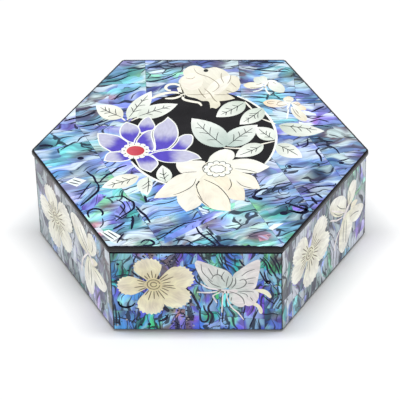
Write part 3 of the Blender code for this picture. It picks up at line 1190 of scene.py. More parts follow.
SOFT_PEN = srgb(150, 140, 122)
BLOOM_TONES = (srgb(226, 221, 200), srgb(238, 236, 222))
MIDDLE_TONES = (srgb(248, 240, 224), srgb(244, 238, 224))
SIDE_TONES = (srgb(238, 232, 214), srgb(248, 246, 236))
peony = Inlay()
peony.cut(cornered(*PEONY_RUNS), LEVEL["petal"], *BLOOM_TONES, ((8, 38), (-6, 62)))
peony.cut(ring((-5.5, 55), 5.6, 7.2, 24), LEVEL["petal"] + 3 * LIFT, *MIDDLE_TONES)
peony.cut(petal((1, 40), (14, 60), 4.2, 4.2, 0.3, 0.8), LEVEL["petal"] + 4 * LIFT, *SIDE_TONES)
peony.finish("peony", ON_LID, "mother_of_pearl", PEARL)

# %% [markdown]
# ## The cream lotus
#
# Eight broad petals lie round a scalloped seed head with a ring of beads. One petal could be copied round a
# circle, but each is bent in its own way. So every petal has an outline of its own: one run of points out
# to its tip, and one back. Dark lines mark where the petals meet.

# %% Lotus petals
LOTUS = [
    ([(4.2, -9.5), (5.5, -5), (9, -1), (13, 0.7)],
     [(13, 0.7), (16, -0.5), (17.5, -3), (17, -7), (12, -12), (4.2, -9.5)]),
    ([(14, -9), (16, -8), (22, -6.8), (28, -8), (35.3, -13)],
     [(35.3, -13), (33, -15), (28, -18), (19, -16), (14, -9)]),
    ([(16, -14), (22, -17.5), (27, -20), (29.5, -25), (30.8, -29.8)],
     [(30.8, -29.8), (26, -30), (22, -29), (19, -27), (14, -20), (16, -14)]),
    ([(14, -20), (20, -25), (23, -31), (23.2, -38.5)],
     [(23.2, -38.5), (18, -38), (12, -34), (8, -26), (9, -20), (14, -20)]),
    ([(4, -19), (10, -26), (14, -32), (16, -38), (16.5, -46.5)],
     [(16.5, -46.5), (8, -45), (2, -40), (-1, -33), (0, -26), (4, -19)]),
    ([(2, -20), (-1, -28), (2, -36), (2, -41), (-1, -44.5), (-5.2, -47)],
     [(-5.2, -47), (-8, -43), (-10, -38), (-9, -30), (2, -20)]),
    ([(4, -17), (-8, -18.5), (-13, -22), (-16, -26), (-20, -33), (-21.5, -37)],
     [(-21.5, -37), (-15, -36.5), (-10, -35), (-6, -32), (-2, -26), (4, -17)]),
    ([(3, -9), (0, -8.3), (-6, -8.6), (-11.5, -9.8)],
     [(-11.5, -9.8), (-11, -14), (-8.5, -18), (-4, -18.2), (2, -16), (3, -9)]),
]
LOTUS_TONES = [
    (srgb(234, 236, 226), srgb(244, 246, 236)), (srgb(236, 236, 224), srgb(248, 248, 238)),
    (srgb(238, 236, 221), srgb(243, 239, 224)), (srgb(238, 232, 208), srgb(242, 232, 212)),
    (srgb(240, 236, 216), srgb(246, 238, 220)), (srgb(232, 230, 214), srgb(240, 237, 225)),
    (srgb(241, 239, 226), srgb(243, 238, 222)), (srgb(238, 236, 224), srgb(244, 240, 230)),
]
LOTUS_ORDER = [0, 7, 1, 3, 2, 5, 6, 4]
LOTUS_LINES = [
    (0.45, (2.5, -22.5), (10, -28), (15, -36), (16.2, -41)), (0.42, (15.5, -22), (16.5, -27), (15, -31)),
    (0.42, (0, -35), (3, -40), (6, -43.5)), (0.42, (-1, -22), (-3, -28), (-8, -32.5), (-12, -34.5)),
    (0.42, (-1, -26), (0, -32), (2.5, -38.5)), (0.36, (18, -14.5), (24, -15.5), (29, -17.5)),
    (0.36, (5, -9.5), (2, -13), (2, -16)), (0.36, (19, -24), (22, -27.5), (27, -29.6)),
    (0.36, (-8, -17.5), (-1, -17)),
]
SEED_HEAD = (9.4, -14.8)
LOTUS_GROUND = srgb(236, 232, 214)
lotus = Inlay()
lotus.cut(ring((9, -18), 11, 9.5), LEVEL["petal"] - 2 * LIFT, LOTUS_GROUND)
for rank, k in enumerate(LOTUS_ORDER):
    outward, back = LOTUS[k]
    tip = outward[-1]
    level = LEVEL["petal"] + 1.5 * LIFT * rank
    lotus.cut(cornered(outward, back), level, *LOTUS_TONES[k], (SEED_HEAD, tip))
print(len(LOTUS), "petals")

# %% The seed head, and the lines on both flowers
lines = Inlay()
lotus.cut(ring(SEED_HEAD, 6.2, 5.4), LEVEL["petal"] + 13.5 * LIFT, CREAM)
for bead in ring(SEED_HEAD, 5.6, 4.7, 11):
    lines.cut(ring(bead, 1.85, 1.75, 14), LEVEL["inner"], PEN)
    lotus.cut(ring(bead, 1.5, 1.4, 12), LEVEL["inner"] + 2 * LIFT, WHITE)
lotus.cut(ring(SEED_HEAD, 5.2, 4.3), LEVEL["inner"] + 3 * LIFT, CREAM)
lines.cut(ring(SEED_HEAD, 4.0, 3.1, 40, 9, 0.2), LEVEL["inner"] + 5 * LIFT, PEN)
lotus.cut(ring(SEED_HEAD, 3.6, 2.7, 40, 9, 0.2), LEVEL["inner"] + 7 * LIFT, WHITE)
lotus.finish("lotus", ON_LID, "mother_of_pearl", PEARL)
draw_lines(lines, LOTUS_LINES, PEN, LEVEL["line"])
draw_lines(lines, PEONY_LINES, SOFT_PEN, LEVEL["line"])
lines.cut(ring((1.4, 64), 1.25, 1.25, 14), LEVEL["line"], PEN)
lines.finish("lid_engraving", ON_LID, "black_lacquer", LINE)

# %% [markdown]
# ## The violet flower
#
# Nine petals of dyed shell lie in rims of white shell. The dye is deep at the heart and nearly gone at the
# tips. The rims could be strokes drawn round the petals, but their corners would bulge. So the rim is the
# whole outline in white, and the violet petal is the same outline drawn in by the width of the rim. The
# heart is a red disc in a ring of small white beads.

# %% Violet petals in white rims
DYED, FADED = (0, 0, 0), (1, 1, 1)
RIM = 0.65
VIOLET_GROUND = (((-37, 1), 8.0, 8.5), ((-25, -1), 6.0, 4.0))
VIOLETS = [
    ([[(-32, 19), (-30.5, 23), (-28, 26), (-26, 26.3)], [(-26, 26.3), (-24, 22), (-22.8, 18.5)],
     [(-22.8, 18.5), (-24, 15.5), (-27, 14.5), (-30, 12.5)], [(-30, 12.5), (-31.5, 15.5), (-32, 19)]],
     ((-28, 13), (-27, 26)), (0.22, 0.68)),
    ([[(-38, -1.5), (-44.5, -1.5), (-47, -4), (-47.8, -8.5)],
     [(-47.8, -8.5), (-45, -9.3), (-40, -9.4), (-36, -8.5), (-34, -7)],
     [(-34, -7), (-34, -3), (-38, -1.5)]], ((-35, -4), (-47, -7.5)), (0.15, 0.72)),
    ([[(-52.2, 13), (-49, 13.2), (-44, 12), (-41, 10.8), (-38, 8), (-36, 6)],
     [(-36, 6), (-36, 2), (-39, -1)],
     [(-39, -1), (-44, -2), (-46, -0.5), (-49, 2), (-51, 5), (-52, 10), (-52.2, 13)]],
     ((-37, 3), (-51, 11)), (0.22, 0.7)),
    ([[(-38, 22.2), (-34, 20.3), (-32, 19)],
     [(-32, 19), (-30.5, 15.5), (-31, 11.5), (-32.5, 8), (-33, 5)], [(-33, 5), (-36, 6)],
     [(-36, 6), (-40, 10), (-41.2, 15), (-40, 19.5), (-38, 22.2)]], ((-34, 6), (-37, 21.5)),
     (0.28, 0.74)),
    ([[(-16, 0), (-13.5, 3), (-11.5, 7), (-11, 10)], [(-11, 10), (-8, 12.2), (-4.5, 12.2)],
     [(-4.5, 12.2), (-3.4, 10), (-3.8, 5), (-6, 1), (-7, -0.5)], [(-7, -0.5), (-11, -0.6), (-16, 0)]],
     ((-13, 0), (-5, 11)), (0.16, 0.7)),
    ([[(-17, 26.3), (-15, 24), (-12.5, 20), (-11.2, 15), (-11, 11), (-12, 7), (-14, 3), (-16, 0.5)],
     [(-16, 0.5), (-20, -0.5), (-23, -1.5)], [(-23, -1.5), (-22.7, 2), (-23.3, 7), (-24.2, 12),
     (-23.8, 16), (-22, 20), (-19, 23), (-17, 26.3)]], ((-19.5, -0.5), (-17, 26)), (0.16, 0.58)),
    ([[(-32.5, 5), (-32, 8), (-30, 12), (-27, 15), (-24, 16)],
     [(-24, 16), (-24.5, 12), (-23.5, 7), (-22.5, 2), (-23.5, -2)], [(-23.5, -2), (-28, 1), (-32.5, 5)]],
     ((-30, 7), (-22.8, 9.5)), (0.15, 0.92)),
    ([[(-26, -3.5), (-24, -2.5), (-20, -0.8), (-15, 0), (-8, -0.2), (-5, -1), (-1, -3.5), (1.3, -7)],
     [(1.3, -7), (-3, -8), (-7, -9.8), (-12, -10.2), (-17, -9.8), (-21, -8), (-24, -4.5), (-26, -3.5)]],
     ((-25, -4), (1, -6)), (0.26, 0.68)),
    ([[(-32.5, -6), (-32, -7.5), (-31, -10.5), (-29.5, -14), (-27, -16), (-23.8, -17.5)],
     [(-23.8, -17.5), (-22, -15), (-20.3, -11.5), (-20.5, -9)], [(-20.5, -9), (-22, -6.5), (-25, -4)],
     [(-25, -4), (-29, -4), (-32.5, -6)]], ((-27.5, -5), (-25, -17)), (0.1, 0.62)),
]
rims, petals = Inlay(), Inlay()
for centre, radius_x, radius_y in VIOLET_GROUND:
    petals.cut(ring(centre, radius_x, radius_y, 24), LEVEL["petal"] - 2 * LIFT, DYED)
for rank, (runs, axis, stops) in enumerate(VIOLETS):
    outline = cornered(*runs, steps=4)
    level = LEVEL["petal"] + 2 * LIFT * rank
    rims.cut(outline, level, WHITE)
    petals.cut(drawn_in(outline, RIM), level + LIFT, DYED, FADED, axis, stops)
rims.finish("violet_flower_rims", ON_LID, "mother_of_pearl", PEARL)
petals.finish("violet_flower", ON_LID, "violet_shell", VIOLET)

# %% The red heart in its beads
HEART = (-32.2, -0.8)
HEART_TONES = (srgb(190, 60, 78), srgb(212, 92, 100))
heart, beads = Inlay(), Inlay()
for bead in ring(HEART, 5.8, 5.0, 13):
    beads.cut(ring(bead, 1.6, 1.5, 12), LEVEL["inner"], WHITE)
beads.cut(ring(HEART, 5.4, 4.7), LEVEL["inner"] + 2 * LIFT, CREAM)
heart.cut(ring(HEART, 4.5, 3.8), LEVEL["inner"] + 4 * LIFT, *HEART_TONES)
beads.finish("violet_flower_beads", ON_LID, "mother_of_pearl", PEARL)
heart.finish("violet_flower_heart", ON_LID, "red_shell", RED)

# %% [markdown]
# ## The butterflies on the lid
#
# Two small butterflies sit on the shell to the right of the peony. A wing could have a traced outline, but
# these are so small that a petal's outline is close enough. Bodies and feelers are strokes, and a finer pen
# draws the wings' veins.

# %% Wings, bodies and feelers
PEACH = srgb(240, 214, 182)
SAND = srgb(236, 228, 200)
WINGS = [
    ((32, 51.8), (21, 51.8), 2.8, 2.6, SAND), ((32.5, 53), (26.5, 58), 2.7, 2.7, LEAF_PALE),
    ((32.5, 54), (30, 59.5), 2.1, 2.1, LEAF_PALE), ((33, 55.5), (42, 46), 3.6, 3.2, LEAF_PALE),
    ((33, 55.5), (38.5, 54), 1.5, 1.5, WHITE), ((44.5, 36), (31.3, 37.8), 3.2, 3.2, PEACH),
    ((44, 37), (44.6, 42.8), 2.7, 2.7, SAND), ((45.5, 37.5), (50.5, 35.5), 2.0, 2.0, PEACH),
    ((46, 36), (53.5, 32), 2.0, 2.0, PEACH), ((45.5, 34.5), (53.4, 22.6), 2.8, 2.8, SAND),
]
BODIES = [
    (0.9, (32.5, 50.5), (33, 47.5), (35, 43.8)), (0.9, (44.5, 33), (43.6, 24.5)),
    (0.9, (32, 50.5), (29.5, 47.7), (26, 46.6)), (1.3, (31.8, 49.5), (33.4, 56)),
    (1.3, (43.8, 32), (45.2, 38.5)),
]
wings = Inlay()
for k, (base, tip, left, right, tone) in enumerate(WINGS):
    wings.cut(petal(base, tip, left, right, 0.3, 0.85), LEVEL["petal"] + 2 * LIFT * (k % 5), WHITE, tone)
draw_lines(wings, BODIES, WHITE, LEVEL["inner"], 0.5)
wings.finish("lid_butterflies", ON_LID, "mother_of_pearl", PEARL)

# %% Lines on the wings
WING_VEINS = [
    (0.35, (30.5, 53.8), (29, 52.5), (27.3, 52.8)), (0.35, (31, 50.2), (28, 49.6), (24.5, 50)),
    (0.4, (34, 54.5), (33.6, 51), (34.8, 47.5)), (0.35, (36, 54.2), (38, 53.2)),
    (0.4, (43.5, 36), (40, 35.2), (38, 36.2)), (0.4, (41.5, 38.6), (39.3, 38), (38.6, 36.6)),
    (0.35, (37.5, 38.2), (35, 38.4), (33.5, 37.6), (35, 36.6), (37, 37)),
    (0.4, (43, 33.8), (41.5, 33), (40.5, 33.8)), (0.4, (46.4, 33), (48, 29), (50.5, 25.5)),
    (0.35, (48, 32), (49.6, 28.6)), (0.4, (46.8, 37), (50, 34.8)), (0.35, (48.4, 36.8), (50.6, 35.6)),
    (0.35, (43, 39), (45.8, 38.8)),
]
wing_lines = Inlay()
draw_lines(wing_lines, WING_VEINS, SOFT_PEN, LEVEL["line"])
wing_lines.finish("lid_butterfly_lines", ON_LID, "black_lacquer", LINE)

# %% [markdown]
# ## The walls' flowers
#
# Each wall carries a flower of five broad petals with finely toothed ends. The teeth could be cut with many
# small notches, but they follow a half circle evenly. So the petal's end is a half oval that steps in and
# out from point to point, and its sides are smooth curves.

# %% Toothed flowers
GOLD_TONES = (srgb(224, 211, 166), srgb(248, 241, 216))
CREAM_TONES = (srgb(230, 226, 200), srgb(252, 250, 240))
GOLD_PEN = srgb(108, 96, 74)
SHOULDER = 0.66
TOOTH = 0.85
TEETH = 9
STAMENS = 4
STAMEN_SPREAD = 16


def toothed_petal(centre, angle, reach, half):
    """A broad petal whose end is finely toothed. half is half its width."""
    out = unit(angle)
    side = out.orthogonal()

    def at(along, across):
        return Vector(centre) + out * (along * reach) + side * (across * half)

    outline = bezier(at(0.06, 0.08), at(0.35, 0.62), at(0.50, 0.98), at(SHOULDER, 1.0), 8)
    for k in range(2 * TEETH + 1):
        turn = math.pi * (0.5 - k / (2 * TEETH))
        cut = TOOTH if k % 2 else 1.0
        along = SHOULDER + (1 - SHOULDER) * math.cos(turn) ** 0.8 * cut
        outline.append(at(along, math.sin(turn) * (0.5 + cut / 2)))
    return outline + bezier(at(SHOULDER, -1.0), at(0.50, -0.98), at(0.35, -0.62), at(0.06, -0.08), 8)[1:]


def wall_flower(plates, lines, centre, petals, tones):
    """Each petal is its angle, reach and half width. The heart and its stamens are engraved."""
    base, tip = tones
    for k, (angle, reach, half) in enumerate(petals):
        end = Vector(centre) + unit(angle) * reach
        plates.cut(toothed_petal(centre, angle, reach, half), LEVEL["petal"] + 2 * LIFT * k, base, tip,
                   (centre, end))
        for j in range(STAMENS):
            lean = unit(angle + (j - (STAMENS - 1) / 2) * STAMEN_SPREAD)
            start = Vector(centre) + lean * 4.4
            stop = Vector(centre) + lean * (reach * (0.41 + 0.06 * ((j * 2 + k) % 3)))
            lines.cut(stroke([start, (start + stop) / 2, stop], 0.5, 0.35), LEVEL["line"], GOLD_PEN)
    plates.cut(ring(centre, 4.2, 4.2, 20), LEVEL["petal"] + 12 * LIFT, base)
    for radius in (3.1, 1.5):
        lines.cut(stroke(arc(centre, radius, 10, 350, 14), 0.42, 0.9), LEVEL["line"], GOLD_PEN)


print("A toothed petal's outline has", len(toothed_petal((0, 0), 0, 20, 8)), "points")

# %% [markdown]
# ## The front wall's drawing
#
# The front wall's shell is deep green and blue, and its strips stand upright. Its rough parts are full of
# small dark and pale specks. They could be a texture, but only some patches have them. So the patches are
# named as boxes and strewn with tiny plates.

# %% Colours and growth lines of the front wall
FRONT_TOUCHES = {
    "mint": [(-40, 46, 4), (7, 45, 4), (36.5, 47, 3), (41, 31, 3), (18, 9, 4), (1, 23, 3), (-38, 15, 4)],
    "green": [(-36, 46, 4), (32, 46, 3), (40, 38, 3), (41, 24, 3), (16, 4, 4), (9, 15, 3), (3, 7, 3),
        (-22, 4, 3)],
    "sea": [(-37, 39, 5), (-40, 33, 4), (10, 47, 3), (19, 46, 3), (34, 42, 3), (41, 14, 3), (8, 8, 3),
        (-26, 5, 4)],
    "violet": [(-31, 47, 3), (-6, 47, 3), (27, 47, 3), (38, 26, 3), (38, 17, 4), (39, 4, 3), (26, 11, 5),
        (5, 17, 3), (-2, 28, 3), (-3, 6, 3), (-33, 9, 5)],
    "umber": [(-25, 47, 4), (-21, 46, 3), (-14, 47, 4), (39, 45, 3), (36, 30, 2), (3, 21, 3), (-6, 8, 4),
        (-12, 3, 4), (-29, 34, 3), (-7, 18, 3), (-17, 40, 3)],
    "aqua": [(-17.5, 46, 2), (13, 13, 3), (2, 12, 3), (-15, 7, 3), (-20, 8, 3)],
    "smoke": [(-9.5, 46, 3), (2, 47, 3)],
    "blue": [(-2.5, 46, 3), (-4, 41, 3), (15, 46, 3), (34, 33, 3), (33, 19, 3), (5, 29, 3), (1, 3, 3),
        (-18, 13, 3), (-36, 4, 4), (-32, 22, 3)],
    "rose": [(24, 46, 3), (-11, 8, 3)],
    "periwinkle": [(30, 48, 2), (24, 4, 4), (-40, 25, 3)],
    "navy": [(35, 12, 3), (33, 5, 3), (-27, 10, 3)],
    "moss": [(38, 8, 3), (-14, 13, 3)],
    "sky": [(12, 5, 3), (1, 31, 3), (-40, 5, 3), (-36, 20, 4)],
    "slate": [(8, 3, 3)],
}
FRONT_GROWTH = [
    (0.81, (-40, 34.5), (-35, 35.6), (-31, 35)), (0.81, (-40.6, 31), (-39, 31.5), (-37, 30.5)),
    (1.1, (-39, 18), (-38, 15.2), (-35, 14), (-31, 15.5)), (0.68, (-39, 11), (-38.6, 6), (-39, 1.5)),
    (0.81, (-14.5, 9.5), (-15, 8), (-17, 6), (-20, 4.5)),
    (1.4, (-4, 29), (-5, 26.5), (-3, 24), (-1.2, 20), (0.3, 16), (1.3, 13)),
    (1.2, (1.5, 14), (1.2, 9), (1.6, 5.3), (3, 4.2), (4.8, 5.2), (5.4, 9), (3.6, 12.5), (3.2, 15.5)),
    (1.2, (8, 20.5), (7, 17.5), (5.5, 14.5), (5.8, 11.5), (7.5, 9), (7, 6), (5.4, 2)),
    (0.68, (23.5, 16), (23.2, 12), (22.3, 9)), (0.81, (30, 13), (28.5, 9), (27, 5), (25.5, 1)),
    (0.81, (33, 21.5), (35, 19), (38, 16.5)), (0.81, (31.5, 10), (34, 9.3), (37, 10), (40.5, 9)),
    (0.94, (35.5, 43), (36.8, 39), (38.8, 35)), (0.81, (32.5, 47.5), (35, 44), (36, 40)),
    (0.81, (38, 47.5), (40, 43), (40.6, 40)), (0.68, (12, 47.5), (13, 42)),
    (0.81, (14, 48), (14.5, 43), (16, 39)), (0.68, (19, 47.5), (19, 42)),
    (1.1, (21, 46), (22.5, 43), (24, 41)), (0.94, (30.8, 38.5), (33, 33), (35, 29.5)),
    (0.94, (0, 42), (1.5, 38), (4.2, 33), (8.5, 28.3), (11, 26.5)),
    (0.81, (-1, 35), (0, 31.5), (3, 28.5)), (0.81, (-29, 48), (-30.5, 44)), (1.1, (-31.5, 38), (-28, 34)),
    (1.1, (-18, 44), (-17, 39)), (0.81, (-10, 47), (-8.5, 44)), (0.81, (12, 18), (12.5, 10), (12, 4)),
    (0.68, (-33, 3), (-31, 6), (-29, 5)), (1.2, (-5, 16), (-3, 18), (-4, 21)),
    (0.9, (-40.6, 32), (-36, 33), (-31, 35)),
    (1.1, (-38.5, 18), (-38, 15), (-35, 13.8), (-32, 15), (-30.5, 17)),
    (0.7, (-40.5, 16), (-40.2, 8), (-40.6, 1)), (2.2, (-18, 15), (-15.8, 13.4), (-14, 11)),
    (0.9, (-16, 9), (-15, 7), (-17, 5), (-19.5, 4.5)), (1.0, (31, 47), (34, 43), (35, 38), (37, 35)),
    (0.9, (36, 48), (38, 44), (39.5, 40), (40.5, 36)), (0.9, (33, 38), (34, 33), (36, 30)),
]
FRONT_SPOTS = [
    (-38, 42.6, 0.8), (-33, 38.5, 0.6), (35, 31, 1.3), (-24, 2.5, 0.9), (-28, 2, 0.7), (40, 23, 0.7),
]
print(len(FRONT_GROWTH), "growth lines on the front wall")

# %% Specks on the front wall
SPECKLED = [
    ((-13, 0.6), (-1, 12), 60), ((-30, 42), (-8, 49), 50), ((33, 22), (40.4, 34), 16),
    ((-40.4, 1), (-33, 9), 12),
]
UMBER_PALE = srgb(176, 166, 168)


def scatter(inlay, patches, seed):
    """Small specks, dark and pale, where the shell is rough."""
    rng = random.Random(seed)
    for (left, low), (right, high), count in patches:
        for k in range(count):
            place = Vector((rng.uniform(left, right), rng.uniform(low, high)))
            size = rng.uniform(0.25, 0.6)
            tone = UMBER_PALE if k % 4 == 0 else INK
            speck = ring(place, size, size * rng.uniform(0.5, 1), 7, turn=rng.uniform(0, 3))
            inlay.cut(speck, LEVEL["growth"] + (2 + 4 * (k % 3)) * LIFT, tone)


print(sum(count for low, high, count in SPECKLED), "specks")

# %% The front flower and butterfly
FRONT_PETALS = [(103, 17.7, 7.0), (20, 21, 7.6), (-38, 20.8, 7.7), (-98, 20.5, 6.7), (184, 18.3, 6.3)]
FRONT_WINGS = [
    ([(14.5, 27), (8, 26), (3, 32), (-0.5, 42), (0.5, 45.2)],
     [(0.5, 45.2), (3, 44.5), (10, 41), (15, 38.5), (17.5, 35.2)], [(17.5, 35.2), (17, 30), (14.5, 27)]),
    ([(15.5, 26.5), (18, 35.5), (21, 39), (26, 43.5), (30, 45.8), (31.2, 44.5), (30.8, 38), (29.5, 30)],
     [(29.5, 30), (28, 26.5), (22, 25.5), (15.5, 26.5)]),
    ([(15, 25.2), (20, 26.2), (26, 26.5), (30, 24.5), (30, 20), (28, 16.5), (25.5, 15), (23, 16)],
     [(23, 16), (21, 20), (18, 23.5), (15, 25.2)]),
    ([(16, 24), (15.8, 19), (18, 16), (21, 14.3), (23, 15), (23.5, 18), (22, 21), (19.5, 23.8)],
     [(19.5, 23.8), (16, 24)]),
]
FRONT_TAILS = [
    [(27, 25.8), (32, 26.5), (35, 24.8), (36.5, 21.5), (35.5, 20.5), (33, 23), (29, 24.8), (27, 24.6)],
    [(27, 18), (30, 16.5), (32, 13), (31.8, 10), (30.5, 10.5), (29.5, 14), (27, 16)],
]
FRONT_LEGS = [
    (0.9, (12, 25.4), (6, 24), (0, 24.3)), (1.0, (12, 26), (6, 27), (2, 30)),
    (0.8, (13, 25), (8.5, 22.5), (8, 21), (9.8, 17)), (0.7, (13, 25), (12.4, 18), (12, 10.5)),
    (0.8, (14.5, 25), (15, 19), (17, 14), (20, 10.5), (22.7, 5.8)),
    (2.6, (10, 25.4), (15, 24.8), (20, 25.2)),
]
FRONT_WING_LINES = [
    (0.4, (2.5, 43), (3, 38), (5.5, 34), (8, 31)), (0.4, (6, 40), (7.2, 37), (8.2, 35)),
    (0.4, (10.5, 39.5), (10.2, 36)), (0.4, (13.8, 38), (12.6, 35.5), (12.2, 33)),
    (0.5, (7.4, 33), (8.3, 35), (10.2, 36), (12, 35), (13, 32.5), (14, 31)),
    (0.4, (5.5, 33), (8, 29.5), (12, 27.5)), (0.4, (15.8, 35), (15, 32), (14.4, 28)),
    (0.5, (17.8, 34), (17, 30), (15, 27)), (0.5, (19, 34), (19, 30), (17, 27)),
    (0.4, (28.5, 39.5), (25, 38), (22, 35)), (0.4, (29, 34), (26, 33.5), (23.5, 32.5)),
    (0.4, (28, 30.3), (25, 30.3)),
    (0.5, (21, 32), (23, 33), (24.3, 31), (23.3, 28.5), (21, 27), (19, 26.8)),
    (0.5, (16, 24.8), (20, 23), (22.5, 20), (23.2, 16.5)), (0.4, (21, 24), (24, 23), (25, 21)),
    (0.4, (20, 24.5), (24, 25), (28, 24.5)), (0.4, (26, 21), (27.5, 18.5)), (0.4, (17, 21), (16.6, 18.5)),
]
WING_TONES = (srgb(210, 222, 214), srgb(244, 236, 234))
WING_PEN = srgb(104, 108, 106)
print(len(FRONT_WINGS), "wings,", len(FRONT_WING_LINES), "lines on them")

# %% [markdown]
# ## The side walls' drawings
#
# The walls left and right of the front are greyer, each with a flower and a butterfly of its own. The three
# at the back can't be seen in the photo. They could be left bare, but a maker would finish them too. So
# they take the left wall's butterfly and a regular flower, with fewer lines.

# %% The left wall
LEFT_TOUCHES = {
    "smoke": [(-38, 42, 6), (-12, 45, 5), (2, 46, 4), (-36, 8, 6), (-14, 5, 6), (5, 10, 5), (34, 31, 5),
        (-6, 12, 3), (38, 26, 4)],
    "lavender": [(-34, 33, 5), (-31, 14, 4), (24, 5, 4)],
    "slate": [(-40, 20, 5), (4, 27, 5)],
    "umber": [(-26, 46, 5), (12, 46, 5), (36, 40, 6)],
    "moss": [(0, 32, 5), (40, 20, 4)],
    "periwinkle": [(2, 19, 4), (37, 5, 4)],
    "sky": [(-27, 8, 4), (29, 40, 4), (34, 10, 4)],
    "sea": [(5, 4, 3)],
    "violet": [(28, 12, 5)],
}
LEFT_PETALS = [(112, 18.5, 7.6), (38, 22.5, 8.4), (-32, 19.5, 8.2), (-104, 21.5, 7.2), (190, 19, 7.2)]
LEFT_WINGS = [
    ([(16, 29), (9, 29.5), (3, 34), (-1.5, 41), (1, 45.2), (7, 46.2), (14, 43.5), (18, 38)],
     [(18, 38), (18, 33), (16, 29)]),
    ([(18, 32), (17, 38), (18, 44), (22, 46.4), (26, 43.5), (26.5, 38), (23.5, 33.5)],
     [(23.5, 33.5), (20, 31), (18, 32)]),
    ([(16, 28), (12.4, 20), (11, 12), (12, 5.5), (15.5, 2.6), (19.5, 5), (21.5, 11), (22.5, 20)],
     [(22.5, 20), (21, 27), (16, 28)]),
    ([(20, 26), (28, 26.4), (34.5, 25), (36.2, 22), (33, 17), (27, 15)], [(27, 15), (22, 17), (20, 26)]),
]
LEFT_TAILS = [[(21, 30), (24, 31.4), (27, 31), (25, 28), (22, 26)]]
LEFT_LEGS = [(1.2, (17, 30.5), (12.5, 25), (9.2, 19.5), (7.4, 11)), (2.4, (15, 31), (19, 29.5), (23, 25))]
print(len(LEFT_WINGS), "wings on the left wall")

# %% The right wall
RIGHT_TOUCHES = {
    "moss": [(-41, 30, 3), (34, 42, 3)],
    "smoke": [(-38, 40, 5), (-38, 18, 5), (-10, 4, 5), (16, 46, 6), (8, 33, 4), (29, 8, 4), (-22, 47, 5),
        (12, 12, 4), (-25, 46, 4)],
    "sea": [(-36, 35, 3), (-40, 8, 4), (5, 48, 4)],
    "violet": [(-33, 28, 4), (-31, 17, 4), (34, 4, 4), (33, 13, 4)],
    "aqua": [(-27, 8, 4)],
    "blue": [(-34, 5, 4)],
    "periwinkle": [(-18, 7, 4), (38, 43, 4)],
    "slate": [(-6, 15, 4), (36, 28, 3), (9, 26, 5)],
    "sky": [(0, 12, 4), (25, 4, 4)],
    "green": [(6, 11, 4)],
    "mint": [(3, 4, 5), (30, 47, 4), (38, 34, 4)],
    "lavender": [(40, 15, 4), (-13, 47, 4), (0, 47, 3)],
}
RIGHT_PETALS = [(137, 19.5, 7.6), (40, 20.5, 7.6), (-22, 21, 8.2), (-84, 22, 7.8), (195, 18.5, 7.4)]
RIGHT_WINGS = [
    ([(17, 29), (11, 33), (6.5, 38.5), (4.8, 43.5), (8, 46), (14, 44.5), (19, 41), (22, 36)],
     [(22, 36), (21, 30), (17, 29)]),
    ([(24, 30), (23, 37), (24.3, 42), (28, 44.4), (31.5, 42), (32, 37)], [(32, 37), (29, 32), (24, 30)]),
    ([(20, 27.5), (16, 22), (14.8, 14), (15, 8), (18, 3.5), (21, 4), (25, 9), (28, 14), (29, 20)],
     [(29, 20), (26, 26), (20, 27.5)]),
    ([(24, 27), (32, 25.2), (38, 22), (39.6, 18.5), (36, 15), (32, 14.5)],
     [(32, 14.5), (27, 18), (24, 27)]),
]
RIGHT_TAILS = [[(27, 29.5), (30, 30), (33.5, 27.5), (30, 25.5), (27, 26)]]
RIGHT_LEGS = [
    (1.0, (18, 27.5), (12, 30), (8, 33), (5.6, 34.4)), (1.2, (18, 23), (13, 18.5), (10.6, 14), (10, 11)),
    (0.9, (20, 29), (15, 33.5), (10, 37.5), (6.8, 40.5)), (2.6, (19, 26), (22, 29), (25, 31)),
]
print(len(RIGHT_WINGS), "wings on the right wall")

# %% The back walls, and the lines on the side walls' wings
BACK_TOUCHES = {
    "slate": [(-38, 40, 7), (-8, 44, 6), (2, 8, 6), (37, 22, 6)],
    "smoke": [(-36, 25, 6), (-26, 45, 6), (-12, 6, 6), (4, 28, 6), (14, 45, 6), (38, 38, 7), (39, 9, 5)],
    "sea": [(-38, 9, 6)],
    "lavender": [(-18, 46, 5)],
    "periwinkle": [(-26, 6, 6), (28, 44, 6)],
    "sky": [(3, 44, 6)],
    "violet": [(16, 8, 6)],
    "aqua": [(30, 7, 6)],
}
BACK_PETALS = [(90, 18, 7.6), (18, 18, 7.6), (-54, 18, 7.6), (-126, 18, 7.6), (162, 18, 7.6)]
SIDE_WING_LINES = [
    (0.45, (17, 31), (11, 34), (6, 39)), (0.45, (18, 33), (13, 37), (9, 42)),
    (0.45, (21, 34), (22.5, 38), (22, 42)), (0.45, (17, 26), (16, 19), (16, 12)),
    (0.45, (19, 25), (19, 18), (18.5, 10)), (0.45, (23, 24), (28, 23), (32, 21)),
]


def moved(lines, shift_x, shift_y):
    return [(width, *[(x + shift_x, y + shift_y) for x, y in points]) for width, *points in lines]


print(len(SIDE_WING_LINES), "lines on the wings")

# %% [markdown]
# ## Dressing a wall
#
# Every wall is built in one order: its sheet of shell, the growth lines, the plates of the flower and the
# butterfly, and the engraving. It could be written out six times. One function keeps the walls alike, and
# what differs is handed to it.

# %% Dressing a wall
MITRE = math.tan(math.radians(30))
WALL_GRAIN, GRAIN_SWAY, SWAY_PITCH = 88, 7, 0.16


def wall_grain(place):
    return WALL_GRAIN + GRAIN_SWAY * math.sin(place.x * SWAY_PITCH)


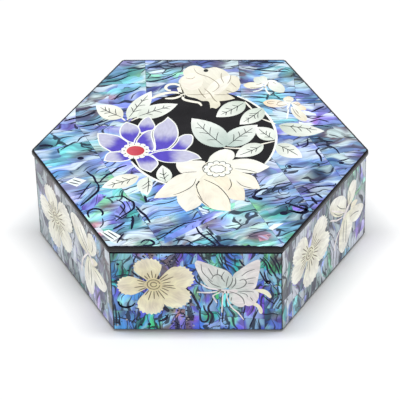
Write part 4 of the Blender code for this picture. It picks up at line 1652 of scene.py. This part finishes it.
def dress_wall(side, touches, material, joints, pitch, centre, petals, tones, wings, wing_tones, tails,
               legs, wing_lines, seed, growth_lines=(), spots=()):
    face = wall_face(WALLS[side])
    lay_sheet(f"{side}_wall_mosaic", face, (material,), WALL_HALF + FIT, WALL_LOW - FIT, WALL_HIGH, touches,
              seed, [f"side_shell_panel_{side}"], [(0, joints, pitch, 90, wall_grain, 0)],
              mitre=SHEET_DEPTH * MITRE)
    if growth_lines:
        dark = Inlay()
        draw_lines(dark, growth_lines, INK, LEVEL["growth"], 0.4)
        for x, y, radius in spots:
            dark.cut(ring((x, y), radius, radius, 12), LEVEL["growth"], INK)
        scatter(dark, SPECKLED, seed)
        dark.finish(f"{side}_wall_growth_lines", face, "abalone_shell", LINE)
    plates, lines = Inlay(), Inlay()
    wall_flower(plates, lines, centre, petals, tones)
    draw_lines(plates, legs, WING_TONES[1], LEVEL["petal"] + 6 * LIFT, 0.5)
    for tail in tails:
        plates.cut(smooth(tail, 4, closed=True), LEVEL["petal"], GOLD_TONES[1])
    for k, runs in enumerate(wings):
        root, tip = runs[0][0], runs[0][-1]
        plates.cut(cornered(*runs), LEVEL["petal"] + 1.5 * LIFT * (k + 1), *wing_tones, (root, tip))
    draw_lines(lines, wing_lines, WING_PEN, LEVEL["line"], 0.4)
    plates.finish(f"{side}_wall_flower_and_butterfly", face, "mother_of_pearl", GOLD_PEARL)
    lines.finish(f"{side}_wall_engraving", face, "black_lacquer", LINE)


print(f"The ends of a wall's sheet lean in by {SHEET_DEPTH * MITRE:.2f} mm")

# %% The six walls
dress_wall("front", FRONT_TOUCHES, WALL_SHELL, joints=(-30.5, -17.5, -6, 0.8, 11, 22.8, 33), pitch=17,
           centre=(-21, 29.3), petals=FRONT_PETALS, tones=GOLD_TONES, wings=FRONT_WINGS,
           wing_tones=WING_TONES, tails=FRONT_TAILS, legs=FRONT_LEGS, wing_lines=FRONT_WING_LINES, seed=11,
           growth_lines=FRONT_GROWTH, spots=FRONT_SPOTS)
GREY_WALL = {"material": GREY_SHELL, "tones": CREAM_TONES, "wing_tones": CREAM_TONES}
LEFT_BUTTERFLY = {"wings": LEFT_WINGS, "tails": LEFT_TAILS}
dress_wall("front_left", LEFT_TOUCHES, joints=(-28, -13, 2, 14, 27.5, 36), pitch=22, centre=(-20, 25.5),
           petals=LEFT_PETALS, legs=LEFT_LEGS, wing_lines=SIDE_WING_LINES, seed=12, **LEFT_BUTTERFLY,
           **GREY_WALL)
dress_wall("front_right", RIGHT_TOUCHES, joints=(-32, -20, -8, 4, 16, 28), pitch=22, centre=(-15, 29),
           petals=RIGHT_PETALS, wings=RIGHT_WINGS, tails=RIGHT_TAILS, legs=RIGHT_LEGS,
           wing_lines=moved(SIDE_WING_LINES, 3, -2), seed=13, **GREY_WALL)
for seed, side in enumerate(("back_right", "back", "back_left"), 14):
    dress_wall(side, BACK_TOUCHES, joints=(-28, -14, 0, 14, 28), pitch=24, centre=(-19, 25),
               petals=BACK_PETALS, legs=LEFT_LEGS[1:], wing_lines=SIDE_WING_LINES[::2], seed=seed,
               **LEFT_BUTTERFLY, **GREY_WALL)

# %% [markdown]
# ## The boards
#
# The box and its lid are right as measured. They could be modelled again, but that would only risk their
# size. So they keep their own meshes and take the lacquer.

# %% Lacquer on the boards
for node in ("box_body", "lid"):
    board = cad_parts[node]
    board.data.materials.clear()
    board.data.materials.append(BLACK)
print("The boards are lacquered")

# %% [markdown]
# ## Handing the box on
#
# The measured box and the dressed one have to be the same size.
